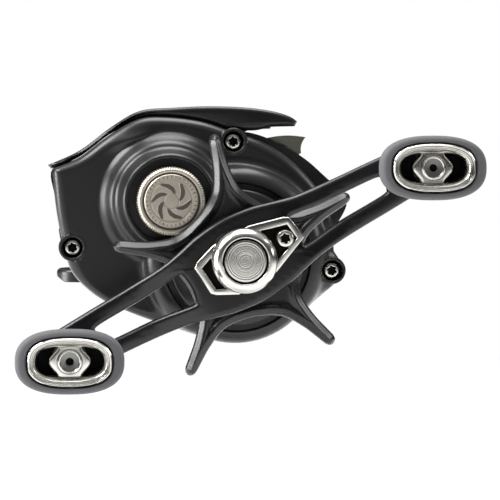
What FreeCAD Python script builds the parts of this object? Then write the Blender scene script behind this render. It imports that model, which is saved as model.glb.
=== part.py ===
"""A low-profile baitcasting reel, left-hand retrieve, as an assembly of separate pieces.

Frame: +Z is up from the rod, -X is the way the line leaves, -Y is the handle side.
The origin is the middle of the reel foot's underside. All sizes are in millimetres.
Distances along the spool's axis are given as "out": out = -y, positive on the handle side.
"""
import FreeCAD
import Part
import math
import os

V = FreeCAD.Vector

# ---------------------------------------------------------------- driving dimensions
SPOOL_X, SPOOL_Z = -4.1, 20.0          # spool axis
SPOOL_R = 16.0                         # flange radius
SPOOL_HALF = 12.0                      # half the spool's width
SPOOL_ARBOR_R = 10.5
SPOOL_LIP = 1.3                        # flange thickness
SPOOL_SKIN = 1.1                       # wall of the hollow arbor
SPOOL_SHAFT_R = 1.5
SPOOL_GAP = 0.5                        # running clearance round the spool

CRANK_X, CRANK_Z = 11.8, 6.6           # handle and drive gear axis
CRANK_SHAFT_R = 3.0
HANDLE_R = 45.0                        # handle axis to knob axis
HANDLE_ANGLE = 27.8                    # tilt of the handle above the horizontal, degrees
STAR_R = 29.6
STAR_ANGLE = 30.0
STAR_ARMS = 5

WALL_IN = SPOOL_HALF + 0.8             # inner face of the frame's side walls
WALL_T = 2.4
WALL_OUT = WALL_IN + WALL_T
COVER_T = 1.4                          # wall thickness of the side covers
SEAT_GAP = 0.05                        # between parts that are screwed face to face
RUN = 0.05                             # radial running clearance of a shaft in its bore
FIT = 0.03                             # radial clearance of a part pushed on a shaft

FOOT_L, FOOT_W, FOOT_T = 61.0, 14.5, 3.2
FOOT_LAND = 1.6                        # flat strip on each side of the saddle
SADDLE_R = 11.0                        # underside radius, fits a round reel seat

GEAR_HOUSING_R = 20.6
GEAR_COVER_OUT = 20.5                  # outer face of the cover's flat field
GEAR_DOME_OUT = 27.0                   # outer face of the raised gear housing

DRIVE_TEETH, PINION_TEETH = 71, 10
SHAFT_GEAR_TEETH, IDLER_TEETH, WORM_GEAR_TEETH = 54, 40, 18
LEVEL_MODULE = 0.5
PRESSURE_ANGLE = 25.0                  # degrees
STUB_ADDENDUM = 0.8                    # in modules
DEDENDUM = 1.05                        # in modules
BACKLASH = 0.09                        # at each gear's pitch circle, shared by both flanks

WORM_X, WORM_Z = -23.7, 15.5
WORM_R = 2.3
GUIDE_ROD_X, GUIDE_ROD_Z, GUIDE_ROD_R = -23.4, 10.0, 1.0
GUIDE_TRAVEL = 8.5

LEVEL_GEAR_OUT = WALL_OUT + 0.4        # inner face of the level wind gears
LEVEL_GEAR_W = 1.4
DRIVE_GEAR_OUT = LEVEL_GEAR_OUT + LEVEL_GEAR_W + 0.6
DRIVE_GEAR_W = 3.4
DRAG_POCKET_R = 16.2
DRAG_POCKET_DEPTH = 1.8

KNOB_LONG, KNOB_SHORT = 23.7, 14.2     # knob's widest section
KNOB_POST_R = 2.0

COVER_SCREWS = [(11.45, 34.1), (-26.9, 8.9), (35.2, 3.2)]
SCREW_R, SCREW_HEAD_R, SCREW_HEAD_T = 1.0, 2.1, 1.3
SCREW_WELL_R = 2.7

# ---------------------------------------------------------------- outlines, x and z, in side view
TOP_EDGE = [(-31.6, 27.6), (-25.0, 30.4), (-17.5, 36.0), (-10.8, 39.5), (-4.0, 39.9), (4.0, 38.9), (11.0, 36.6)]
COVER_REAR = [(11.0, 36.6), (18.0, 34.3), (25.0, 30.1), (31.6, 23.3), (35.2, 17.0), (35.6, 11.5), (35.9, 6.5)]
FRONT_EDGE = [(-26.6, 2.4), (-28.7, 8.0), (-30.2, 15.0), (-31.0, 21.0), (-31.6, 27.6)]
BELLY = [(4.0, -12.45), (-5.0, -9.7), (-14.0, -6.4), (-21.0, -2.9), (-26.6, 2.4)]
FRAME_REAR = [(11.0, 36.6), (17.5, 35.9), (23.5, 33.4), (30.0, 29.4), (35.4, 24.6), (39.4, 20.0), (37.6, 15.2),
              (34.8, 9.0)]
HOOD_TOP = [(-32.6, 28.5), (-25.0, 32.0), (-17.5, 37.6), (-10.8, 41.4), (-3.0, 42.2), (6.0, 42.6)]
HOOD_HORN = [(6.0, 42.6), (15.0, 42.3), (21.5, 41.4), (25.4, 40.2), (27.4, 38.9)]
HORN_UNDER = [(26.6, 38.2), (20.7, 38.1), (17.4, 37.1), (12.0, 36.95)]
HOOD_W = 16.9                          # half width over the horns
HORN_W = 5.2
HOOD_BRIDGE_END = -9.5                 # x where the bridge ends and only the horns go on


def rot(x, z, degrees):
    a = math.radians(degrees)
    return x * math.cos(a) - z * math.sin(a), x * math.sin(a) + z * math.cos(a)


def disc(x, z, r, out0, out1):
    return Part.makeCylinder(r, out1 - out0, V(x, -out0, z), V(0, -1, 0))


def ring(x, z, r_outer, r_inner, out0, out1):
    return disc(x, z, r_outer, out0, out1).cut(disc(x, z, r_inner, out0 - 1, out1 + 1))


def box(x0, x1, out0, out1, z0, z1):
    return Part.makeBox(x1 - x0, out1 - out0, z1 - z0, V(x0, -out1, z0))


def turned(x, z, profile):
    """Solid of revolution about the axis along Y at (x, z); profile is a list of (radius, out)."""
    points = [V(x + r, -o, z) for r, o in profile]
    face = Part.Face(Part.makePolygon(points + points[:1]))
    return face.revolve(V(x, 0, z), V(0, 1, 0), 360)


def curve(points):
    """One edge through (x, z) points: a line for two, an arc for three, else a spline."""
    at = [V(x, 0, z) for x, z in points]
    if len(at) == 2:
        return Part.LineSegment(*at).toShape()
    if len(at) == 3:
        return Part.Arc(*at).toShape()
    spline = Part.BSplineCurve()
    spline.interpolate(at)
    return spline.toShape()


def region(*stretches):
    """A face in the XZ plane bounded by the stretches, joined end to end."""
    edges = [curve(points) for points in stretches]
    return Part.Face(Part.Wire(Part.__sortEdges__(edges)))


def shrunk(stretches, distance):
    """The stretches of a closed clockwise outline, moved inward by distance."""
    loop = [p for stretch in stretches for p in stretch[:-1]]
    moved = {}
    for before, here, after in zip(loop[-1:] + loop[:-1], loop, loop[1:] + loop[:1]):
        normals = []
        for (x0, z0), (x1, z1) in ((before, here), (here, after)):
            length = math.hypot(x1 - x0, z1 - z0)
            normals.append(((z1 - z0) / length, (x0 - x1) / length))
        (ax, az), (bx, bz) = normals
        reach = distance / (1 + ax * bx + az * bz)
        moved[here] = (here[0] + reach * (ax + bx), here[1] + reach * (az + bz))
    return [[moved[p] for p in stretch] for stretch in stretches]


def slab(face, out0, out1):
    moved = face.copy()
    moved.translate(V(0, -out0, 0))
    return moved.extrude(V(0, -(out1 - out0), 0))


def stacked(stretches, levels):
    """A solid whose outline is set in by a given amount at each (out, inset) level."""
    wires = []
    for out, inset in levels:
        wire = region(*shrunk(stretches, inset)).OuterWire
        wire.translate(V(0, -out, 0))
        wires.append(wire)
    return Part.makeLoft(wires, True, True)


def polygon(points, out0, out1):
    corners = [V(x, 0, z) for x, z in points]
    return slab(Part.Face(Part.makePolygon(corners + corners[:1])), out0, out1)


def fuse(shapes):
    joined = shapes[0].multiFuse(shapes[1:]) if len(shapes) > 1 else shapes[0]
    return joined.removeSplitter()


def rounded(shape, radius, choose):
    """shape with the edges that choose() picks rounded."""
    return shape.makeFillet(radius, [e for e in shape.Edges if choose(e)])


def edges_at_out(out):
    """Picks the edges that lie wholly in the plane at that out."""
    def choose(edge):
        return abs(edge.BoundBox.YMin + out) < 1e-4 and abs(edge.BoundBox.YMax + out) < 1e-4
    return choose


def polar(shape, x, z, count, start=0.0):
    """count copies of shape, turned about the axis along Y at (x, z)."""
    copies = []
    for i in range(count):
        copy = shape.copy()
        copy.rotate(V(x, 0, z), V(0, -1, 0), start + 360.0 * i / count)
        copies.append(copy)
    return copies


def belt(centre0, r0, centre1, r1, out0, out1):
    """The solid round two discs and the straight tangents between them."""
    (x0, z0), (x1, z1) = centre0, centre1
    reach, heading = math.dist(centre0, centre1), math.atan2(z1 - z0, x1 - x0)
    lean = math.acos((r0 - r1) / reach)
    corners = []
    for side in (1, -1):
        a = heading + side * lean
        pair = [(x0 + r0 * math.cos(a), z0 + r0 * math.sin(a)), (x1 + r1 * math.cos(a), z1 + r1 * math.sin(a))]
        corners += pair[::side]
    web = polygon(corners, out0, out1)
    return fuse([web, disc(x0, z0, r0, out0, out1), disc(x1, z1, r1, out0, out1)])


def oval(x, z, long, short, out, power=2.5, count=24):
    """A closed superellipse wire, long along X, in the plane at out."""
    points = []
    for i in range(count):
        a = 2 * math.pi * i / count
        c, s = math.cos(a), math.sin(a)
        points.append(V(x + long / 2 * math.copysign(abs(c) ** (2 / power), c), -out,
                        z + short / 2 * math.copysign(abs(s) ** (2 / power), s)))
    spline = Part.BSplineCurve()
    spline.interpolate(points, PeriodicFlag=True)
    return Part.Wire(spline.toShape())


def oval_slab(x, z, long, short, out0, out1, power=2.5):
    return Part.Face(oval(x, z, long, short, out0, power)).extrude(V(0, -(out1 - out0), 0))


# ---------------------------------------------------------------- gears
def gear(x, z, module, teeth, phase, bore, out0, out1):
    """An external spur gear with stub involute teeth; phase is one tooth's angle in radians."""
    pitch_r = module * teeth / 2
    base_r = pitch_r * math.cos(math.radians(PRESSURE_ANGLE))
    tip_r = pitch_r + STUB_ADDENDUM * module
    root_r = pitch_r - DEDENDUM * module

    def half_angle(r):
        """Half of the tooth's angle at radius r."""
        r = max(r, base_r)
        roll = math.tan(math.acos(base_r / r)) - math.acos(base_r / r)
        pitch_roll = math.tan(math.radians(PRESSURE_ANGLE)) - math.radians(PRESSURE_ANGLE)
        at_pitch = (math.pi * module / 2 - BACKLASH) / (2 * pitch_r)
        return at_pitch + pitch_roll - roll

    def point(r, a):
        return V(x + r * math.cos(a), 0, z + r * math.sin(a))

    low_r = max(root_r, base_r)
    levels = [root_r, low_r, (low_r + tip_r) / 2, tip_r] if low_r > root_r + 1e-6 else \
        [root_r, (root_r + tip_r) / 2, tip_r]
    edges = []
    for i in range(teeth):
        middle = phase + 2 * math.pi * i / teeth
        rise = [point(r, middle - half_angle(r)) for r in levels]
        fall = [point(r, middle + half_angle(r)) for r in reversed(levels)]
        following = point(root_r, middle + 2 * math.pi / teeth - half_angle(root_r))
        gap_middle = point(root_r, middle + math.pi / teeth)
        edges += [Part.LineSegment(a, b).toShape() for a, b in zip(rise, rise[1:])]
        edges.append(Part.Arc(rise[-1], point(tip_r, middle), fall[0]).toShape())
        edges += [Part.LineSegment(a, b).toShape() for a, b in zip(fall, fall[1:])]
        edges.append(Part.Arc(fall[-1], gap_middle, following).toShape())
    wheel = slab(Part.Face(Part.Wire(edges)), out0, out1)
    return wheel.cut(disc(x, z, bore, out0 - 1, out1 + 1))


def meshing_phase(phase, teeth, centre, other_teeth, other_centre):
    """The phase that puts the other gear in mesh with this one."""
    theta = math.atan2(other_centre[1] - centre[1], other_centre[0] - centre[0])
    ahead = phase - theta
    return theta + math.pi + math.pi / other_teeth - ahead * teeth / other_teeth


CRANK, SPOOL, WORM = (CRANK_X, CRANK_Z), (SPOOL_X, SPOOL_Z), (WORM_X, WORM_Z)
DRIVE_MODULE = 2 * math.dist(CRANK, SPOOL) / (DRIVE_TEETH + PINION_TEETH)
DRIVE_PHASE = 0.0
PINION_PHASE = meshing_phase(DRIVE_PHASE, DRIVE_TEETH, CRANK, PINION_TEETH, SPOOL)


def idler_centre():
    """The lower of the two places where the idler meshes with both of its neighbours."""
    a = LEVEL_MODULE * (SHAFT_GEAR_TEETH + IDLER_TEETH) / 2
    b = LEVEL_MODULE * (IDLER_TEETH + WORM_GEAR_TEETH) / 2
    base = math.dist(CRANK, WORM)
    along = (a * a - b * b + base * base) / (2 * base)
    down = math.sqrt(a * a - along * along)
    ux, uz = (WORM_X - CRANK_X) / base, (WORM_Z - CRANK_Z) / base
    return CRANK_X + along * ux - down * uz, CRANK_Z + along * uz + down * ux


IDLER = idler_centre()
SHAFT_GEAR_PHASE = 0.0
IDLER_PHASE = meshing_phase(SHAFT_GEAR_PHASE, SHAFT_GEAR_TEETH, CRANK, IDLER_TEETH, IDLER)
WORM_GEAR_PHASE = meshing_phase(IDLER_PHASE, IDLER_TEETH, IDLER, WORM_GEAR_TEETH, WORM)
DRIVE_GEAR_TIP = DRIVE_MODULE * (DRIVE_TEETH / 2 + STUB_ADDENDUM)
IDLER_TIP = LEVEL_MODULE * (IDLER_TEETH / 2 + STUB_ADDENDUM)
WORM_GEAR_TIP = LEVEL_MODULE * (WORM_GEAR_TEETH / 2 + STUB_ADDENDUM)

# ---------------------------------------------------------------- side outlines
EAR = COVER_SCREWS[2]
EAR_R = SCREW_WELL_R + 0.4
PALM_BELLY = [(34.8, 9.0), (28.0, -3.5), (15.0, -11.2), (2.0, -12.9), (-11.0, -8.8), (-20.5, -3.2), (-26.6, 2.4)]


HOUSING_SIDE = [[(24.0, -6.0), BELLY[0]], BELLY, FRONT_EDGE]
COVER_SIDE = [TOP_EDGE, COVER_REAR, [COVER_REAR[-1], (24.0, -6.0)]] + HOUSING_SIDE
FRAME_SIDE = [TOP_EDGE, FRAME_REAR, [FRAME_REAR[-1], (24.0, -6.0)]] + HOUSING_SIDE
FRAME_PALM_SIDE = [TOP_EDGE, FRAME_REAR, PALM_BELLY, FRONT_EDGE]
PALM_SIDE = [TOP_EDGE, [TOP_EDGE[-1], (18.0, 34.3), (25.0, 30.1), (31.6, 23.3), (34.6, 16.0), PALM_BELLY[0]],
             PALM_BELLY, FRONT_EDGE]


def handle_side(stretches, out0, out1, inset=0.0):
    """A handle side outline with its round gear housing and rear ear, as a solid set in by inset."""
    main = slab(region(*shrunk(stretches, inset)), out0, out1)
    return fuse([main, belt(CRANK, GEAR_HOUSING_R - inset, EAR, EAR_R - inset, out0, out1)])


# ---------------------------------------------------------------- frame and covers
MAIN_BEARING_R, MAIN_BEARING_W = 5.0, 2.0          # inner bearing of the drive shaft
PINION_HUB_R = 3.4
PINION_BEARING_R, PINION_BEARING_W = 4.5, 2.0
SPOOL_BEARING_R, SPOOL_BEARING_W = 4.0, 2.2
CONTROL_BOSS_R, CONTROL_BOSS_BORE = 6.5, PINION_BEARING_R + 0.02
CONTROL_FLOOR, CONTROL_BOSS_END = 26.6, 29.6
CONTROL_R, CONTROL_OUT0, CONTROL_OUT1 = 8.1, 27.1, 32.3
BOSS_BASE_R, BOSS_LIP_R, BOSS_LIP_OUT, BOSS_WELL_R = 14.5, 10.6, 28.8, 9.9
ROLLER_R, ROLLER_OUT0, ROLLER_OUT1 = 7.0, 22.4, 26.6
SLEEVE_R = 4.2
CRANK_BOSS_R, CRANK_BOSS_END = 9.2, 28.6
CRANK_BEARING_R = 6.4
CAVITY_R, CAVITY_END = 19.2, 22.2
FIELD_CEILING = GEAR_COVER_OUT - COVER_T
PEG_X, PEG_Z, PEG_R = 24.0, 25.6, 1.1              # the thumb bar's guide pegs
THUMB_TRAVEL = 4.0
THUMB_DIRECTION = (-0.30, -0.954)                  # the way the thumb bar is pressed
YOKE_POSTS = [(0.4, 25.4), (-9.4, 24.6)]
YOKE_POST_R, YOKE_OUT0, YOKE_T = 0.9, 15.45, 0.9
YOKE_GROOVE = (15.4, 16.4)
YOKE_R = 4.0
WIRE_SIDES = 8
POST_END = 58.6                                    # end of each knob post
CARRIER_HALF = 3.4                                 # half width of the line guide's carrier
PAWL_R = 0.9
WORM_ENDS = (-WALL_OUT + 0.2, LEVEL_GEAR_OUT + LEVEL_GEAR_W)


def foot():
    """Reel foot with rounded ends and a hollow saddle between two flat lands."""
    half_l, half_w = FOOT_L / 2, FOOT_W / 2
    plate = Part.makeBox(FOOT_L, FOOT_W, FOOT_T, V(-half_l, -half_w, 0))
    corners = [e for e in plate.Edges if abs(e.BoundBox.ZLength - FOOT_T) < 1e-6]
    plate = plate.makeFillet(half_w - 1.2, corners)
    nose = [e for e in plate.Edges if e.BoundBox.ZMin > FOOT_T - 1e-6 and abs(e.CenterOfMass.x) > half_l - 12]
    plate = plate.makeFillet(1.1, nose)
    hollow = half_w - FOOT_LAND
    lift = math.sqrt(SADDLE_R ** 2 - hollow ** 2)
    saddle = Part.makeCylinder(SADDLE_R, FOOT_L + 2, V(-half_l - 1, 0, -lift), V(1, 0, 0))
    return plate.cut(saddle)


def slot(x, z, r, out0, out1):
    """The room that a peg of radius r needs over the thumb bar's travel."""
    dx, dz = THUMB_DIRECTION[0] * THUMB_TRAVEL, THUMB_DIRECTION[1] * THUMB_TRAVEL
    return belt((x, z), r, (x + dx, z + dz), r - 1e-3, out0, out1)


def make_frame():
    gear_wall = handle_side(FRAME_SIDE, WALL_IN, WALL_OUT)
    palm_wall = slab(region(*FRAME_PALM_SIDE), -WALL_OUT, -WALL_IN)
    spool_room = disc(SPOOL_X, SPOOL_Z, SPOOL_R + SPOOL_GAP, -WALL_OUT - 1, SPOOL_HALF + 0.5)
    palm_wall = palm_wall.cut(spool_room)
    lightening = [(22.5, 5.5, 3.6), (26.0, 14.0, 3.0), (12.0, -5.5, 3.4), (-13.0, 1.8, 2.6)]
    for x, z, r in lightening:
        palm_wall = palm_wall.cut(disc(x, z, r, -WALL_OUT - 1, -WALL_IN + 1))
    gear_wall = gear_wall.cut(disc(SPOOL_X, SPOOL_Z, PINION_HUB_R + 0.4, WALL_IN - 1, WALL_OUT + 1))
    gear_wall = gear_wall.cut(disc(CRANK_X, CRANK_Z, CRANK_SHAFT_R - 0.4, WALL_IN - 1, WALL_OUT + 1))
    gear_wall = gear_wall.cut(disc(CRANK_X, CRANK_Z, MAIN_BEARING_R, WALL_OUT - MAIN_BEARING_W, WALL_OUT + 1))
    gear_wall = gear_wall.cut(disc(WORM_X, WORM_Z, WORM_R + 1.0, WALL_IN - 1, WALL_OUT + 1))
    palm_wall = palm_wall.cut(disc(WORM_X, WORM_Z, WORM_R + 1.0, -WALL_OUT - 1, -WALL_IN + 1))
    deck = polygon([(-16.0, 1.0), (-16.0, FOOT_T), (12.0, FOOT_T), (12.0, 1.0)], -WALL_IN, WALL_IN)
    front_bar = slab(region([(-30.0, 12.6), (-28.6, 7.0), (-26.2, 2.6)], [(-26.2, 2.6), (-23.8, 2.6)],
                            [(-23.8, 2.6), (-26.4, 7.4), (-27.8, 12.6)], [(-27.8, 12.6), (-30.0, 12.6)]),
                     -WALL_IN, WALL_IN)
    rear_bar = slab(region([(30.4, 28.4), (35.4, 24.2), (38.6, 20.0)], [(38.6, 20.0), (37.0, 15.4), (34.2, 9.4)],
                           [(34.2, 9.4), (32.2, 10.2)], [(32.2, 10.2), (35.2, 16.0), (36.0, 19.6)],
                           [(36.0, 19.6), (33.6, 22.8), (29.4, 26.6)], [(29.4, 26.6), (30.4, 28.4)]),
                    -WALL_IN, WALL_IN)
    rear_foot_web = polygon([(16.0, 2.4), (24.0, 2.4), (34.6, 9.0), (33.0, 10.6), (22.0, 3.8)], -WALL_IN, WALL_IN)
    top_bar = polygon([(-24.0, 29.9), (-21.6, 31.6), (-21.0, 30.0), (-23.0, 28.8)], -WALL_IN, WALL_IN)
    solid = fuse([gear_wall, palm_wall, foot(), deck, front_bar, rear_bar, rear_foot_web, top_bar])
    for out0, out1 in ((WALL_IN - 1, WALL_OUT + 1), (-WALL_OUT - 1, -WALL_IN + 1)):
        solid = solid.cut(slot(PEG_X, PEG_Z, PEG_R + 0.25, out0, out1))
        solid = solid.cut(disc(GUIDE_ROD_X, GUIDE_ROD_Z, GUIDE_ROD_R, out0, out1))
    for x, z in COVER_SCREWS:
        solid = solid.cut(disc(x, z, SCREW_R, WALL_IN - 1, WALL_OUT + 1))
    for x, z in YOKE_POSTS:
        solid = solid.cut(disc(x, z, YOKE_POST_R, WALL_OUT - 1.2, WALL_OUT + 1))
    return solid


def make_gear_cover():
    """Handle side cover: a thin shell with a raised round housing, a spool boss and three screw wells."""
    outer0 = WALL_OUT + SEAT_GAP
    field = handle_side(COVER_SIDE, outer0, GEAR_COVER_OUT)
    field = rounded(field, 1.6, edges_at_out(GEAR_COVER_OUT))
    dome = turned(CRANK_X, CRANK_Z, [
        (0, outer0 + 1), (22.3, outer0 + 1), (22.3, 20.6), (21.2, 22.9), (19.4, 24.4), (17.6, 24.9),
        (17.6, 23.6), (16.2, 23.6), (16.2, 25.2), (CRANK_BOSS_R + 2.5, 26.4), (CRANK_BOSS_R, 27.0),
        (CRANK_BOSS_R, CRANK_BOSS_END), (0, CRANK_BOSS_END)])
    outline = handle_side(COVER_SIDE, outer0, CRANK_BOSS_END + 1)
    dome = dome.common(outline)
    boss = turned(SPOOL_X, SPOOL_Z, [
        (0, outer0 + 1), (BOSS_BASE_R + 1.2, outer0 + 1), (BOSS_BASE_R, 21.5), (BOSS_LIP_R + 0.7, 27.6),
        (BOSS_LIP_R, BOSS_LIP_OUT), (BOSS_WELL_R, BOSS_LIP_OUT), (BOSS_WELL_R, CONTROL_FLOOR),
        (CONTROL_BOSS_R, CONTROL_FLOOR), (CONTROL_BOSS_R, CONTROL_BOSS_END), (0, CONTROL_BOSS_END)])
    boss = boss.common(handle_side(COVER_SIDE, outer0, CONTROL_BOSS_END + 1))
    shell = fuse([field, dome, boss])
    cavity = handle_side(COVER_SIDE, outer0 - 1, FIELD_CEILING, COVER_T)
    gear_room = disc(CRANK_X, CRANK_Z, CAVITY_R, outer0 - 1, CAVITY_END)
    shell = shell.cut(fuse([cavity, gear_room]))
    posts = [disc(x, z, SCREW_WELL_R, outer0, 19.0) for x, z in COVER_SCREWS]
    worm_room = disc(WORM_X, WORM_Z, WORM_GEAR_TIP + 0.35, outer0 - 1, LEVEL_GEAR_OUT + LEVEL_GEAR_W + 0.3)
    shell = fuse([shell] + [post.common(outline).cut(worm_room) for post in posts])
    for x, z in COVER_SCREWS:
        shell = shell.cut(disc(x, z, SCREW_WELL_R - 0.3, SCREW_SEAT, GEAR_DOME_OUT))
        shell = shell.cut(disc(x, z, SCREW_R + 0.1, outer0 - 1, SCREW_SEAT + 1))
    shell = shell.cut(disc(CRANK_X, CRANK_Z, ROLLER_R, outer0 - 1, ROLLER_OUT1))
    shell = shell.cut(disc(CRANK_X, CRANK_Z, CRANK_BEARING_R, ROLLER_OUT1 - 1, CRANK_BOSS_END + 1))
    shell = shell.cut(disc(SPOOL_X, SPOOL_Z, CONTROL_BOSS_BORE, outer0 - 1, CONTROL_BOSS_END + 1))
    for x, z in YOKE_POSTS:
        shell = shell.cut(disc(x, z, YOKE_POST_R, outer0, FIELD_CEILING + 0.6))
    return shell


SCREW_SEAT = 18.0
PALM_FLAT = -23.4
DIAL_R, DIAL_OUT0, DIAL_OUT1 = 9.4, -22.2, -26.4
BRAKE_TUBE_R, MAGNET_R, ROTOR_R = 5.6, 7.4, 8.7


def make_palm_cover():
    """Palm side cover: a rounded shell with the dial's recess and the brake's carrier tube."""
    outer0 = -(WALL_OUT + SEAT_GAP)
    body = stacked(PALM_SIDE, [(outer0, 0.0), (-19.6, 0.0), (-21.2, 0.35), (-22.4, 1.1), (-23.1, 2.2), (PALM_FLAT, 3.8)])
    inner = slab(region(*shrunk(PALM_SIDE, COVER_T)), PALM_FLAT + COVER_T + 1.4, outer0 + 1)
    shell = body.cut(inner)
    recess = disc(SPOOL_X, SPOOL_Z, DIAL_R + 0.3, PALM_FLAT - 1, DIAL_OUT0 + SEAT_GAP)
    recess_wall = disc(SPOOL_X, SPOOL_Z, DIAL_R + 1.6, PALM_FLAT, DIAL_OUT0 + COVER_T + 0.1)
    tube = disc(SPOOL_X, SPOOL_Z, BRAKE_TUBE_R, DIAL_OUT0 + 1, -3.0)
    shell = fuse([shell, recess_wall, tube]).cut(recess)
    shell = shell.cut(disc(SPOOL_X, SPOOL_Z, SPOOL_BEARING_R, -17.4, 0))
    return shell.cut(disc(SPOOL_X, SPOOL_Z, 1.25, DIAL_OUT0 - 2, 0))


def hood_face():
    under = [(x, z + SEAT_GAP) for x, z in TOP_EDGE]
    return region(HOOD_TOP, HOOD_HORN, [HOOD_HORN[-1], (27.5, 38.4), HORN_UNDER[0]], HORN_UNDER,
                  [HORN_UNDER[-1], under[-1]], under[::-1], [under[0], HOOD_TOP[0]])


def make_hood():
    """Top cover: a bridge over the line guide with a horn running back over each side wall."""
    solid = slab(hood_face(), -HOOD_W, HOOD_W)
    gap = HOOD_W - HORN_W
    middle = box(HOOD_BRIDGE_END, 40, -gap, gap, 30, 50)
    solid = solid.cut(middle)
    hollow = slab(region([(-29.0, 28.6), (-24.5, 30.6), (-17.5, 36.1), (-9.0, 40.2)], [(-9.0, 40.2), (-6.0, 40.2)],
                         [(-6.0, 40.2), (-6.0, 30.0)], [(-6.0, 30.0), (-29.0, 28.6)]), -gap, gap)
    return solid.cut(hollow)


# ---------------------------------------------------------------- spool group
def make_spool():
    lip = SPOOL_HALF - SPOOL_LIP
    inner = SPOOL_ARBOR_R - SPOOL_SKIN
    hub, web, hub_half = 3.2, 0.8, 6.0
    half = [(SPOOL_SHAFT_R + FIT, hub_half), (hub, hub_half), (hub, web), (inner, web), (inner, 9.4), (13.6, SPOOL_HALF),
            (SPOOL_R, SPOOL_HALF), (SPOOL_R, lip), (SPOOL_ARBOR_R + 0.4, 8.2), (SPOOL_ARBOR_R, 6.8)]
    profile = half + [(r, -o) for r, o in reversed(half)]
    spool = turned(SPOOL_X, SPOOL_Z, profile)
    hole = disc(SPOOL_X + 6.3, SPOOL_Z, 1.5, -2, 2)
    return spool.cut(Part.makeCompound(polar(hole, SPOOL_X, SPOOL_Z, 8)))


PIN_OUT, PIN_R, PIN_HALF = 13.9, 0.6, 2.6
SHAFT_ENDS = (-17.0, 28.9)


def make_spool_shaft():
    return disc(SPOOL_X, SPOOL_Z, SPOOL_SHAFT_R, *SHAFT_ENDS).cut(make_spool_pin())


def make_spool_pin():
    return Part.makeCylinder(PIN_R, 2 * PIN_HALF, V(SPOOL_X, -PIN_OUT, SPOOL_Z - PIN_HALF), V(0, 0, 1))


def make_brake_rotor():
    cup = turned(SPOOL_X, SPOOL_Z, [(3.25, -0.85), (ROTOR_R, -0.85), (ROTOR_R, -9.2), (ROTOR_R - 0.7, -9.2),
                                    (ROTOR_R - 0.7, -1.7), (3.25, -1.7)])
    return cup


def make_magnet_ring():
    parts = []
    for i in range(8):
        a = 45.0 * i
        sector = ring(SPOOL_X, SPOOL_Z, MAGNET_R, BRAKE_TUBE_R + FIT, -8.6, -3.4)
        span = math.radians(19)
        far = 12.0
        wedge = polygon([(SPOOL_X, SPOOL_Z), (SPOOL_X + far * math.cos(span), SPOOL_Z - far * math.sin(span)),
                         (SPOOL_X + far * math.cos(span), SPOOL_Z + far * math.sin(span))], -8.6, -3.4)
        wedge.rotate(V(SPOOL_X, 0, SPOOL_Z), V(0, -1, 0), a)
        parts.append(sector.common(wedge))
    return Part.makeCompound(parts)


def make_pinion():
    """Pinion with a slotted clutch hub, a groove for the yoke and a journal for its bearing."""
    teeth = gear(SPOOL_X, SPOOL_Z, DRIVE_MODULE, PINION_TEETH, PINION_PHASE, SPOOL_SHAFT_R + RUN, 17.2, 23.2)
    hub = disc(SPOOL_X, SPOOL_Z, PINION_HUB_R, 13.1, YOKE_GROOVE[0])
    neck = disc(SPOOL_X, SPOOL_Z, 2.4, YOKE_GROOVE[0], YOKE_GROOVE[1])
    collar = disc(SPOOL_X, SPOOL_Z, 2.0, YOKE_GROOVE[1], 26.4)
    rim = disc(SPOOL_X, SPOOL_Z, 3.2, YOKE_GROOVE[1], 16.8)
    body = fuse([hub, neck, collar, rim]).cut(disc(SPOOL_X, SPOOL_Z, SPOOL_SHAFT_R + RUN, 12, 27))
    body = fuse([body, teeth])
    key = box(SPOOL_X - PIN_R - 0.2, SPOOL_X + PIN_R + 0.2, 13.0, PIN_OUT + PIN_R + 0.15,
              SPOOL_Z - 5, SPOOL_Z + 5)
    return body.cut(key)


# ---------------------------------------------------------------- clutch
def make_yoke():
    plate = fuse([disc(SPOOL_X, SPOOL_Z, YOKE_R, YOKE_OUT0, YOKE_OUT0 + YOKE_T)] +
                 [belt((x, z), 2.0, SPOOL, 3.4, YOKE_OUT0, YOKE_OUT0 + YOKE_T) for x, z in YOKE_POSTS])
    throat = box(SPOOL_X - 2.5, SPOOL_X + 2.5, YOKE_OUT0 - 1, YOKE_OUT0 + YOKE_T + 1, SPOOL_Z - 8, SPOOL_Z)
    plate = plate.cut(fuse([disc(SPOOL_X, SPOOL_Z, 2.5, YOKE_OUT0 - 1, YOKE_OUT0 + YOKE_T + 1), throat]))
    for x, z in YOKE_POSTS:
        plate = plate.cut(disc(x, z, YOKE_POST_R + RUN, YOKE_OUT0 - 1, YOKE_OUT0 + YOKE_T + 1))
    return plate


def make_yoke_posts():
    return Part.makeCompound([disc(x, z, YOKE_POST_R, WALL_OUT - 1.2, FIELD_CEILING + 0.6) for x, z in YOKE_POSTS])


def coil_spring(x, z, coil_r, wire_r, turns, out0, out1):
    """A compression spring of eight-sided wire between two outs."""
    pitch = (out1 - out0 - 2 * wire_r) / turns
    helix = Part.makeHelix(pitch, pitch * turns, coil_r)
    corners = []
    for i in range(WIRE_SIDES):
        turn = 2 * math.pi * i / WIRE_SIDES
        corners.append(V(coil_r + wire_r * math.cos(turn), 0, wire_r * math.sin(turn)))
    section = Part.makePolygon(corners + corners[:1])
    spring = Part.Wire(helix.Edges).makePipeShell([section], True, False)
    spring.rotate(V(0, 0, 0), V(1, 0, 0), 90)
    spring.translate(V(x, -(out0 + wire_r), z))
    return spring


def make_yoke_springs():
    out0 = YOKE_OUT0 + YOKE_T + 0.02
    return Part.makeCompound([coil_spring(x, z, 1.35, 0.2, 3, out0, FIELD_CEILING - 0.02) for x, z in YOKE_POSTS])


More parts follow.
